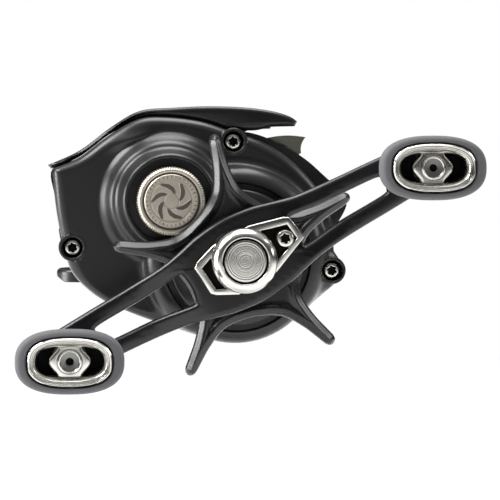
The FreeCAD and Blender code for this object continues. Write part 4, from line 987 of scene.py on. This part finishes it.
# ------------------------------------------------------------------ star drag
@dataclass
class StarDrag(Assembly):
    """The five-armed drag wheel, with a raised rim that joins into one ridge along each arm."""

    tip_r: float = 29.6
    first_arm: float = 30.0
    arms: int = 5
    inner: float = 32.7
    thick: float = 2.4
    edge_round: float = 1.7
    ridge: float = 0.75
    ridge_in: float = 1.75
    ridge_wide: float = 0.75
    fade_from: float = 10.8
    fade_over: float = 2.0
    hub_r: float = 9.0
    columns: int = 34
    rows: int = 26
    arm_half: tuple[Point2, ...] = ((22.5, 1.8), (17.3, 2.9), (14.7, 4.5), (12.85, 6.3))
    valley_r: float = 13.9
    hub: tuple[Point2, ...] = ((3.1, 29.9), (8.0, 29.9), (9.4, 31.6), (10.6, 32.7), (10.6, 34.5), (9.8, 35.0),
                               (8.6, 35.5), (7.6, 36.2), (7.2, 36.4), (3.1, 36.4))

    def _spot(self, r: float, side: float, angle: float) -> Point2:
        """A place on an arm.

        Args:
            r: distance along the arm.
            side: distance to its left.
            angle: the arm's direction in degrees.

        Returns:
            x and z.
        """
        a = math.radians(angle)
        return (CRANK_AXIS[0] + r * math.cos(a) - side * math.sin(a),
                CRANK_AXIS[1] + r * math.sin(a) + side * math.cos(a))

    def _outline(self) -> list[Point2]:
        """Draws the wheel's whole outline.

        Returns:
            The outline's points.
        """
        step = 360.0 / self.arms
        loop: list[Point2] = []
        for i in range(self.arms):
            a = self.first_arm + step * i
            tip, at = self.tip_r, self._spot
            end = [(tip - 1.9, -1.5), (tip - 0.6, -1.1), (tip, 0), (tip - 0.6, 1.1), (tip - 1.9, 1.5)]
            loop += smooth_path([at(r, side, a) for r, side in end], 4)[:-1]
            down = [at(r, side, a) for r, side in end[-1:] + list(self.arm_half)]
            back = [at(r, -side, a + step) for r, side in end[-1:] + list(self.arm_half)]
            loop += smooth_path(down + [at(self.valley_r, 0, a + step / 2)] + back[::-1], 7)[:-1]
        return loop

    def _top(self, x: float, z: float, loop: Sequence[Point2]) -> float:
        """Out of the wheel's front at a place.

        Args:
            x: place along the reel.
            z: height.
            loop: the wheel's outline.

        Returns:
            How far out the front is.
        """
        near = math.inf
        for (ax, az), (bx, bz) in zip(loop, loop[1:] + loop[:1]):
            ex, ez = bx - ax, bz - az
            t = min(max(((x - ax) * ex + (z - az) * ez) / (ex * ex + ez * ez), 0.0), 1.0)
            near = min(near, math.hypot(ax + t * ex - x, az + t * ez - z))
        edge = 1.0 - min(near / self.edge_round, 1.0)
        r = math.hypot(x - CRANK_AXIS[0], z - CRANK_AXIS[1])
        fade = min(max((r - self.fade_from) / self.fade_over, 0.0), 1.0)
        ridge = self.ridge * math.exp(-((near - self.ridge_in) / self.ridge_wide) ** 2) * fade
        return self.inner + 0.5 + (self.thick - 0.9) * math.sqrt(max(0.0, 1 - edge * edge)) + ridge

    def build(self) -> None:
        """Makes the wheel."""
        wheel = Pile()
        loop = self._outline()
        step, rows, hub = math.tau / self.arms, self.rows, self.hub_r
        crowding, inward = 1.9, 0.85
        sector = []
        for k in range(-self.columns, self.columns):
            t = k / self.columns
            a = math.radians(self.first_arm) + math.copysign(abs(t) ** crowding, t) * step / 2
            reach = ray_reach(CRANK_AXIS, a, loop)
            column = []
            for i in range(rows):
                r = hub + (reach - hub) * (i / (rows - 1)) ** inward
                x, z = CRANK_AXIS[0] + r * math.cos(a), CRANK_AXIS[1] + r * math.sin(a)
                column.append((a, r, self._top(x, z, loop)))
            column += [(a, reach, self.inner + 0.15), (a, reach - 0.2, self.inner), (a, hub, self.inner)]
            sector.append(column)
        spokes = [[(a + i * step, r, out) for a, r, out in column]
                  for i in range(self.arms) for column in sector]
        rings = [[(CRANK_AXIS[0] + spoke[i][1] * math.cos(spoke[i][0]), spoke[i][2],
                   CRANK_AXIS[1] + spoke[i][1] * math.sin(spoke[i][0])) for spoke in spokes]
                 for i in range(len(spokes[0]))]
        wheel.loft(rings, Finish.STAR)
        wheel.turned(CRANK_AXIS, self.hub, Finish.STAR)
        self.fit(wheel.become("star_drag_wheel"), "star_drag", "black_anodised", "star_drag")

    def dress(self) -> None:
        """Finishes the nut inside the wheel."""
        self.coat(Finish.BRASS, "star_nut")


# ------------------------------------------------------------------ handle
@dataclass
class CrankHandle(Assembly):
    """The double handle: two rails, bright nut, retainer and its screw."""

    end_r: float = 5.6
    inner: float = 38.4
    thick: float = 3.0
    sweep: float = 2.4
    sweep_from: float = 12.0
    sweep_over: float = 14.0
    cut_pitch: float = 2.0
    window: Point3 = (14.2, 37.7, 2.55)
    arm_half: tuple[Point2, ...] = ((-36.0, 6.15), (-27.0, 6.6), (-18.0, 7.3), (-12.5, 8.4), (-7.0, 9.8),
                                    (0.0, 10.5), (7.0, 9.9), (12.5, 8.6), (18.0, 7.4), (27.0, 6.6),
                                    (36.0, 6.15))
    plate_gap: float = 0.05
    plate_edge: tuple[Point2, ...] = ((14.8, -1.8), (14.3, 1.4), (13.8, 3.9), (12.6, 4.6), (4.6, 6.5),
                                      (-4.6, 6.4), (-9.9, 4.6), (-10.8, 3.6), (-10.2, -3.2), (-9.2, -4.1),
                                      (-4.6, -6.4), (5.4, -5.9))
    plate_thick: float = 1.5
    screw_pocket: tuple[Point2, ...] = ((13.1, -1.2), (12.5, 2.6), (6.6, 4.1), (6.6, -3.7))
    plate_window: tuple[Point2, ...] = ((-9.2, 2.9), (-6.4, 3.9), (-6.0, -4.0), (-8.6, -2.9))
    screw_at: float = 10.7
    nut_top: float = 47.6

    def _bend(self, x: float, z: float) -> float:
        """Sweeps the arm towards the reel.

        Args:
            x: place along the reel.
            z: height.

        Returns:
            How far out to move the place, never more than nought.
        """
        u = abs((x - CRANK_AXIS[0]) * math.cos(HANDLE_ANGLE) + (z - CRANK_AXIS[1]) * math.sin(HANDLE_ANGLE))
        t = min(max((u - self.sweep_from) / self.sweep_over, 0.0), 1.0)
        return -self.sweep * t * t * (3 - 2 * t)

    def build(self) -> None:
        """Makes the arm, the retainer, its screw and the nut."""
        half = [(-KNOB_REACH, self.end_r), *self.arm_half, (KNOB_REACH, self.end_r)]
        loop = smooth_path(half, 6)
        end_steps = 16
        for k in range(1, end_steps):
            a = math.pi / 2 - math.pi * k / end_steps
            loop.append((KNOB_REACH + self.end_r * math.cos(a), self.end_r * math.sin(a)))
        loop += [(-u, -v) for u, v in loop]
        loops = [[on_handle(u, v) for u, v in loop]]
        near, far, wide = self.window
        side = [(near, wide * 1.25), (near + 1.0, wide * 1.45), (24.0, wide * 1.08),
                (far - 2.0, wide * 0.86), (far - 0.3, wide * 0.5)]
        for sign in (1, -1):
            gap = smooth_path([(u, -v) for u, v in side] + [(far, 0.0)] + side[::-1] + [(near - 0.5, 0.0)],
                              6, True)
            loops.append([on_handle(sign * u, sign * v) for u, v in gap])
        along = math.cos(HANDLE_ANGLE), math.sin(HANDLE_ANGLE)
        last = round((self.sweep_from + self.sweep_over) / self.cut_pitch) + 1
        cuts = [(on_handle(i * self.cut_pitch, 0), along) for i in range(-last, last + 1)]
        arm = Pile()
        arm.plate(loops, self.inner, self.inner + self.thick, 1.05, Finish.HANDLE, cuts, self._bend, 4)
        self.fit(arm.become("handle_rails"), "handle", "black_anodised", "handle_arm")
        self._retainer()
        self._nut()

    def _retainer(self) -> None:
        """Makes the bright framed plate and its screw."""
        face = self.inner + self.thick + self.plate_gap
        plate = Pile()
        outer, pocket, window = ([on_handle(u, v) for u, v in loop]
                                 for loop in (self.plate_edge, self.screw_pocket, self.plate_window))
        plate.plate([outer, pocket, window], face, face + self.plate_thick, 0.35, Finish.CHROME)
        # thin near-black plates seen through the screw pocket and the window: painted shade
        plate.plate([outer[:6] + outer[10:]], face, face + 0.35, 0.08, Finish.PIT)
        plate.plate([window], face - 0.02, face + 0.1, 0.02, Finish.PIT)
        self.fit(plate.become("nut_retainer_plate", 30.0), "handle", "chrome", "nut_retainer")
        screw = Pile()
        screw_head(screw, on_handle(self.screw_at, 0), face + 0.37, 2.15, 1.5, 0.3)
        self.fit(screw.become("nut_retainer_screw", 30.0), "handle", "chrome", "retainer_screw")

    def _nut(self) -> None:
        """Makes the cap nut."""
        seat, top = self.inner + self.thick + self.plate_thick, self.nut_top
        nut = Pile()
        skirt = raised([(5.2, 0.0), (7.3, 0.05), (7.45, 0.3)], seat)
        crown = raised([(7.45, -2.0), (7.35, -1.6), (6.9, -0.75), (6.3, -0.18), (5.95, 0.0), (5.4, 0.0),
                        (5.25, -0.12)], top)
        groove = raised([(5.25, -0.12), (5.2, -1.0), (4.8, -1.0), (4.75, -0.35)], top)
        face = raised([(4.75, -0.35), (4.68, -0.22), (4.5, -0.2), (0.5, -0.32), (0.0, -0.32)], top)
        nut.turned(CRANK_AXIS, skirt + crown, Finish.CHROME, 128)
        # the groove is near-black: painted shade
        nut.turned(CRANK_AXIS, groove, Finish.PIT)
        nut.turned(CRANK_AXIS, face, Finish.NUT_FACE)
        self.fit(nut.become("handle_cap_nut", 30.0), "handle", "chrome", "handle_nut")

    def dress(self) -> None:
        """Finishes the drive line on the handle's axis."""
        self.coat(Finish.STEEL, "drive_shaft", "clutch_sleeve", "drag_pressure_plate", "drag_spring_washers")
        self.coat(Finish.BRASS, "drive_gear", "shaft_gear")
        self.coat(Finish.POLYMER, "drag_washer")
        self.coat(Finish.STEEL, "knob_post_a", "knob_post_b")


@dataclass
class PaddleKnob(Assembly):
    """One flared rubber grip with its bright oval end trim."""

    letter: str
    sign: int
    long: float = 23.7
    short: float = 14.2
    pocket: float = 60.3
    end: float = 65.6
    cap_top: float = 66.0
    neck: tuple[tuple[float, float, float, float], ...] = (
        (7.0, 7.0, 41.3, 2.0), (9.6, 8.4, 41.1, 2.1), (11.2, 9.4, 41.6, 2.2), (12.4, 10.1, 42.8, 2.3),
        (13.8, 10.5, 45.0, 2.4), (16.4, 10.8, 48.5, 2.5), (19.0, 11.5, 52.5, 2.5), (21.4, 12.7, 56.5, 2.5),
        (23.0, 13.7, 60.0, 2.5))
    mouth: tuple[float, float, float] = (18.8, 11.1, 2.6)
    rim: tuple[Point3, ...] = ((18.6, 10.9, -3.4), (18.6, 10.9, -0.9), (18.3, 10.6, -0.35),
                               (17.8, 10.1, -0.1), (17.3, 9.6, -0.15), (17.0, 9.3, -0.5), (16.9, 9.2, -0.85),
                               (16.6, 8.9, -0.9),
                               (16.1, 8.4, -0.75), (15.4, 7.7, -1.1), (14.6, 6.9, -1.9), (14.2, 6.6, -2.5),
                               (14.1, 6.5, -5.0))
    bridge_side: tuple[Point2, ...] = ((5.4, 4.3), (3.1, 3.8), (2.7, 3.0), (3.6, 1.9), (4.4, 0.9))
    bridge_wide: float = 4.6
    bridge_span: Point2 = (-4.4, -2.5)
    bridge_round: float = 0.7
    bore_r: float = 1.6
    boss: tuple[Point2, ...] = ((2.75, -4.6), (2.75, -2.3), (2.6, -1.9), (2.3, -1.75), (2.1, -1.9),
                                (2.05, -2.2))
    boss_face: tuple[Point2, ...] = ((2.05, -2.2), (0.95, -2.3), (0.8, -2.5))
    hole: tuple[Point2, ...] = ((0.8, -2.5), (0.78, -3.3), (0.0, -3.3))

    @property
    def axis(self) -> Point2:
        """The x and z of the knob's axis."""
        return on_handle(self.sign * KNOB_REACH, 0.0)

    def _ring(self, long: float, short: float, out: float, power: float = 2.5,
              count: int = 80) -> list[Point3]:
        """An oval ring about the knob's axis.

        Args:
            long: full width.
            short: full height.
            out: how far out it is.
            power: squareness.
            count: number of points.

        Returns:
            The ring's points.
        """
        x, z = self.axis
        return [(x + px, out, z + pz) for px, pz in superellipse(long, short, power, count)]

    def build(self) -> None:
        """Makes the grip and the trim."""
        body = f"knob_{self.letter}"
        grip = Pile()
        long, short, power = self.mouth
        lip = [(self.long, self.short, self.end - 3.0, 2.5), (self.long, self.short, self.end - 1.8, 2.5),
               (23.3, 13.8, self.end - 0.8, 2.5), (22.5, 13.1, self.end - 0.2, 2.5),
               (21.4, 12.2, self.end, 2.5), (19.6, 11.5, self.end, power),
               (19.0, 11.2, self.end - 0.3, power)]
        inside = self._ring(long, short, self.pocket, power)
        grip.loft([self._ring(*section) for section in [*self.neck, *lip]] + [inside], Finish.GRIP)
        # the pocket's floor is near-black: painted shade
        grip.loft([inside, self._ring(8.2, 8.2, self.pocket, 2.0)], Finish.PIT)
        self.fit(grip.become(f"knob_grip_{self.letter}_rubber"), body, "grip_rubber",
                 f"knob_grip_{self.letter}")
        self._trim(body)

    def _trim(self, body: str) -> None:
        """Makes the bright trim.

        Args:
            body: the body it rides on.
        """
        trim = Pile()
        top = self.cap_top
        x, z = self.axis
        trim.loft([self._ring(long, short, top + out) for long, short, out in self.rim], Finish.CHROME)
        lower = [(px, -pz) for px, pz in reversed(self.bridge_side)]
        side = smooth_path([*self.bridge_side, (self.bridge_wide, 0.0), *lower], 4)
        loop = [(x + px, z + pz) for px, pz in side] + [(x - px, z - pz) for px, pz in side]
        bore = [(x + px, z + pz) for px, pz in superellipse(2 * self.bore_r, 2 * self.bore_r, 2.0, 24)]
        low, high = self.bridge_span
        trim.plate([loop, bore], top + low, top + high, self.bridge_round, Finish.CHROME, bevel_steps=4)
        trim.turned((x, z), raised(self.boss, top), Finish.CHROME, 64)
        trim.turned((x, z), raised(self.boss_face, top), Finish.HOLE_FACE, 48)
        # the hole's floor is near-black: painted shade
        trim.turned((x, z), raised(self.hole, top), Finish.PIT, 32)
        self.fit(trim.become(f"knob_trim_{self.letter}", 30.0), body, "chrome", f"knob_cap_{self.letter}")

    def dress(self) -> None:
        """Finishes the parts inside the knob."""
        self.coat(Finish.STEEL, f"knob_bearings_{self.letter}")
        self.coat(Finish.SCREW, f"knob_screw_{self.letter}")
        self.coat(Finish.POLYMER, f"knob_spacer_{self.letter}")


# ------------------------------------------------------------------ body shells and works
@dataclass
class Shells(Assembly):
    """Frame, palm side cover, hood, thumb bar and brake dial."""

    hood_half: float = 16.9
    horn_wide: float = 5.2
    far_horn: float = 3.0
    horn_from: float = 12.0
    horn_long: float = 15.0
    top: tuple[Point2, ...] = ((-32.6, 28.5), (-25.0, 32.0), (-17.5, 37.6), (-10.8, 41.4), (-3.0, 42.2),
                               (6.0, 42.6), (15.0, 42.3), (21.5, 41.4), (25.4, 40.2), (27.2, 39.0))
    under: tuple[Point2, ...] = ((26.6, 37.9), (20.7, 37.7), (17.4, 36.9), (12.0, 36.95))
    seat_line: tuple[Point2, ...] = ((11.0, 36.75), (4.0, 39.05), (-4.0, 40.05), (-10.8, 39.65),
                                     (-17.5, 36.15), (-25.0, 30.55), (-31.9, 27.75))
    crown_end: float = -9.5
    crown_in: float = 1.2
    crown_under: tuple[Point2, ...] = ((-9.5, 41.6), (-9.5, 40.4), (-12.0, 39.6), (-17.5, 36.6),
                                       (-24.5, 31.1), (-29.0, 28.9), (-32.3, 28.2))
    palm: tuple[Point2, ...] = ((-31.6, 27.6), (-25.0, 30.4), (-17.5, 36.0), (-10.8, 39.5), (-4.0, 39.9),
                                (4.0, 38.9), (11.0, 36.6), (18.0, 34.3), (25.0, 30.1), (31.6, 23.3),
                                (34.6, 15.0), (33.9, 6.5), (30.0, -1.6), (22.0, -8.4), (12.0, -11.8),
                                (3.0, -11.4), (-5.0, -9.7), (-14.0, -6.4), (-21.0, -2.9), (-26.6, 2.4),
                                (-28.7, 8.0), (-30.2, 15.0), (-31.0, 21.0))
    palm_centre: Point2 = (-0.1, 17.0)
    palm_levels: tuple[Point2, ...] = ((1.0, 15.25), (1.0, 18.6), (0.998, 19.3), (0.99, 20.0), (0.972, 20.8),
                                       (0.945, 21.5), (0.9, 22.15), (0.84, 22.65), (0.76, 23.0), (0.66, 23.2),
                                       (0.54, 23.3), (0.42, 23.35), (0.36, 23.3))
    dial_ring: tuple[Point2, ...] = ((9.7, -21.0), (9.7, -23.6), (9.9, -23.9), (10.3, -24.0), (11.4, -23.9),
                                     (12.4, -23.6), (13.4, -23.2), (14.0, -22.6))
    slots: int = 5
    slot_from: float = 200.0
    slot_step: float = 14.0
    slot: tuple[Point2, ...] = ((17.6, -2.1), (17.6, 2.1), (18.6, 2.1), (18.6, -2.1))

    def _horn(self, short: float) -> list[Point2]:
        """Draws the hood's side outline.

        Args:
            short: how much shorter the horn is.

        Returns:
            The outline.
        """
        def pulled(points: Sequence[Point2]) -> list[Point2]:
            """Draws the horn's points forward."""
            return [(x - short * max(0.0, (x - self.horn_from) / self.horn_long), z) for x, z in points]

        horn = smooth_path(pulled(self.top), 6) + smooth_path(pulled(self.under), 5)
        return horn + smooth_path(self.seat_line, 5)

    def build(self) -> None:
        """Makes the hood and the palm side cover."""
        hood = Pile()
        w, n = self.hood_half, self.horn_wide
        hood.plate([self._horn(0.0)], w - n, w, 1.0, Finish.HOOD, bevel_steps=4)
        hood.plate([self._horn(self.far_horn)], -w, n - w, 1.0, Finish.HOOD, bevel_steps=4)
        crown = [point for point in smooth_path(self.top[:5], 6) if point[0] <= self.crown_end]
        crown += self.crown_under
        hood.plate([crown], self.crown_in - w, w - self.crown_in, 0.12, Finish.HOOD, bevel_steps=1)
        self.fit(hood.become("hood_shell"), "frame", "black_anodised", "top_hood")
        cover = Pile()
        outline = smooth_path(self.palm, 6, True)
        cx, cz = self.palm_centre
        rings = [[(cx + (x - cx) * scale, -out, cz + (z - cz) * scale) for x, z in outline]
                 for scale, out in self.palm_levels]
        cover.loft(rings, Finish.PALM, cap_last=True)
        cover.turned(SPOOL_AXIS, self.dial_ring, Finish.PALM)
        for i in range(self.slots):
            a = math.radians(self.slot_from + self.slot_step * i)
            ring = [(SPOOL_AXIS[0] + r * math.cos(a + side / r), SPOOL_AXIS[1] + r * math.sin(a + side / r))
                    for r, side in self.slot]
            # each slot is only a thin near-black plate on the face, not an opening: painted shade
            cover.plate([ring], -23.28, -23.05, 0.05, Finish.PIT)
        self.fit(cover.become("palm_cover_shell"), "frame", "black_anodised", "palm_side_cover")

    def dress(self) -> None:
        """Finishes the frame, the dial and the thumb bar."""
        self.coat(Finish.FRAME, "frame", "brake_dial")
        self.coat(Finish.BAR, "thumb_bar")


@dataclass
class Works(Assembly):
    """Spool, brake, clutch, bearings and level wind."""

    def dress(self) -> None:
        """Finishes the works."""
        self.coat(Finish.SPOOL, "spool")
        self.coat(Finish.STEEL, "spool_shaft", "spool_cross_pin", "yoke_posts", "yoke_springs", "idler_post",
                  "guide_rod", "worm_shaft", "worm_pawl", "palm_spool_bearing", "pinion_bearing",
                  "drive_shaft_bearing", "one_way_bearing", "outer_shaft_bearing")
        self.coat(Finish.BRASS, "pinion_gear")
        self.coat(Finish.SILVER, "brake_rotor")
        self.coat(Finish.MAGNET, "brake_magnets")
        self.coat(Finish.POLYMER, "clutch_yoke", "idler_gear", "worm_gear", "worm_bushes",
                  "line_guide_carrier")
        self.coat(Finish.CHROME, "line_guide_insert")


# ------------------------------------------------------------------ studio
@dataclass
class Studio:
    """Pale floor and backdrop, soft lamps and the camera."""

    eye: Point3 = (-32.1, -513.5, 25.5)
    target: Point3 = (12.987, -45.0, 9.069)
    lens: float = 149.45
    sensor: float = 36.0
    sweep: float = 58.0
    floor_reach: float = 4.0
    floor_back: float = 1.6
    floor_gap: float = 0.0015
    lamp_aim: Point3 = (8.0, -20.0, 12.0)
    sky: tuple[tuple[float, Colour], ...] = ((0.0, (0.03, 0.03, 0.03)), (0.2, (0.06, 0.06, 0.06)),
                                             (0.6, (0.5, 0.5, 0.5)), (1.0, (0.9, 0.9, 0.9)))
    lamps: tuple[tuple[str, Point3, float, float], ...] = (
        ("key", (-430.0, -130.0, 470.0), 360.0, 7.0),
        ("fill", (520.0, -90.0, 260.0), 320.0, 1.8),
        ("top", (20.0, 20.0, 560.0), 460.0, 5.0),
        ("side", (-580.0, -30.0, 60.0), 300.0, 5.0),
    )

    def _white(self, name: str, dim: Colour) -> bpy.types.Material:
        """A material that is white to the camera and to reflections, and takes shadow.

        Args:
            name: the material's name.
            dim: its plain colour.

        Returns:
            The material.
        """
        tree = Tree(bpy.data.materials.new(name))
        cloud = tree.noise(6.0, 3.0)
        plain = tree.node("ShaderNodeBsdfPrincipled", {}, {
            "Base Color": tree.mix(cloud * 0.04, dim, (0.9, 0.9, 0.9)), "Roughness": 0.9})
        glow = tree.node("ShaderNodeEmission", {}, {"Color": WHITE, "Strength": 1.0})
        seen = tree.node("ShaderNodeLightPath", out="Is Camera Ray")
        glossy = tree.node("ShaderNodeLightPath", out="Is Glossy Ray")
        through = tree.node("ShaderNodeLightPath", out="Is Transmission Ray")
        x, y, _ = tree.axes()
        away = ((x * x + y * y) ** 0.5 * 3.2 - 0.35).clamped()
        factor = (seen * (0.8 + away * 0.2) + glossy * 0.1 + through).clamped()
        both = tree.node("ShaderNodeMixShader", {}, {0: factor, 1: plain, 2: glow})
        tree.node("ShaderNodeOutputMaterial", {}, {"Surface": both})
        return tree.owner

    def build(self) -> None:
        """Builds the studio."""
        low = min(min(corner[2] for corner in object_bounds()), (CRANK_AXIS[1] - self.sweep) * MM)
        floor = bpy.data.meshes.new("floor")
        reach, back = self.floor_reach, self.floor_back
        floor.from_pydata([(-reach, -reach, 0), (reach, -reach, 0), (reach, back, 0), (-reach, back, 0)], [],
                          [(0, 1, 2, 3)])
        floor.materials.append(self._white("studio_floor", (0.85, 0.85, 0.85)))
        ground = bpy.data.objects.new("studio_floor", floor)
        ground.location = (0.0, 0.0, low - self.floor_gap)
        bpy.context.scene.collection.objects.link(ground)
        ground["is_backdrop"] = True
        LOG.info("%s laid", ground.name)
        self._sky()
        for name, place, size, power in self.lamps:
            light = bpy.data.lights.new(name, "AREA")
            light.shape, light.size, light.energy = "DISK", size * MM, power
            lamp = bpy.data.objects.new(name, light)
            lamp.location = Vector(place) * MM
            aim = Vector(self.lamp_aim) * MM - lamp.location
            lamp.rotation_euler = aim.to_track_quat("-Z", "Y").to_euler()
            bpy.context.scene.collection.objects.link(lamp)
            LOG.info("%s lamp set", name)
        self._camera()

    def _sky(self) -> None:
        """Sets up the surroundings: white to the camera, softly graded light from above for the rest."""
        world = bpy.data.worlds.new("studio")
        bpy.context.scene.world = world
        tree = Tree(world)
        way = tree.node("ShaderNodeTexCoord", out="Generated")
        up = tree.node("ShaderNodeSeparateXYZ", {}, {0: way}, out=2)
        tint = tree.node("ShaderNodeValToRGB", {"stops": self.sky}, {0: up})
        dim = tree.node("ShaderNodeBackground", {}, {"Color": tint, "Strength": 1.0})
        bright = tree.node("ShaderNodeBackground", {}, {"Color": WHITE, "Strength": 1.0})
        seen = tree.node("ShaderNodeLightPath", out="Is Camera Ray")
        through = tree.node("ShaderNodeLightPath", out="Is Transmission Ray")
        both = tree.node("ShaderNodeMixShader", {}, {0: (seen + through).clamped(), 1: dim, 2: bright})
        tree.node("ShaderNodeOutputWorld", {}, {"Surface": both})

    def _camera(self) -> None:
        """Sets up the camera."""
        data = bpy.data.cameras.new("camera")
        data.lens, data.sensor_width = self.lens, self.sensor
        data.clip_start, data.clip_end = 0.01, 50.0
        camera = bpy.data.objects.new("camera", data)
        camera.location = Vector(self.eye) * MM
        aim = Vector(self.target) * MM - camera.location
        camera.rotation_euler = aim.to_track_quat("-Z", "Y").to_euler()
        bpy.context.scene.collection.objects.link(camera)
        bpy.context.scene.camera = camera
        bpy.context.scene.view_settings.view_transform = "Standard"


def main() -> None:
    """Builds the reel's looks and the studio."""
    logging.basicConfig(level=logging.INFO, format="%(name)s: %(message)s")
    groups: list[Assembly] = [Shells(), HandleSideCover(), CastControl(), StarDrag(), CrankHandle(),
                              PaddleKnob("a", 1), PaddleKnob("b", -1), Works()]
    for group in groups:
        group.build()
        group.dress()
    Studio().build()
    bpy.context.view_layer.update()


if __name__ == "__main__":
    main()
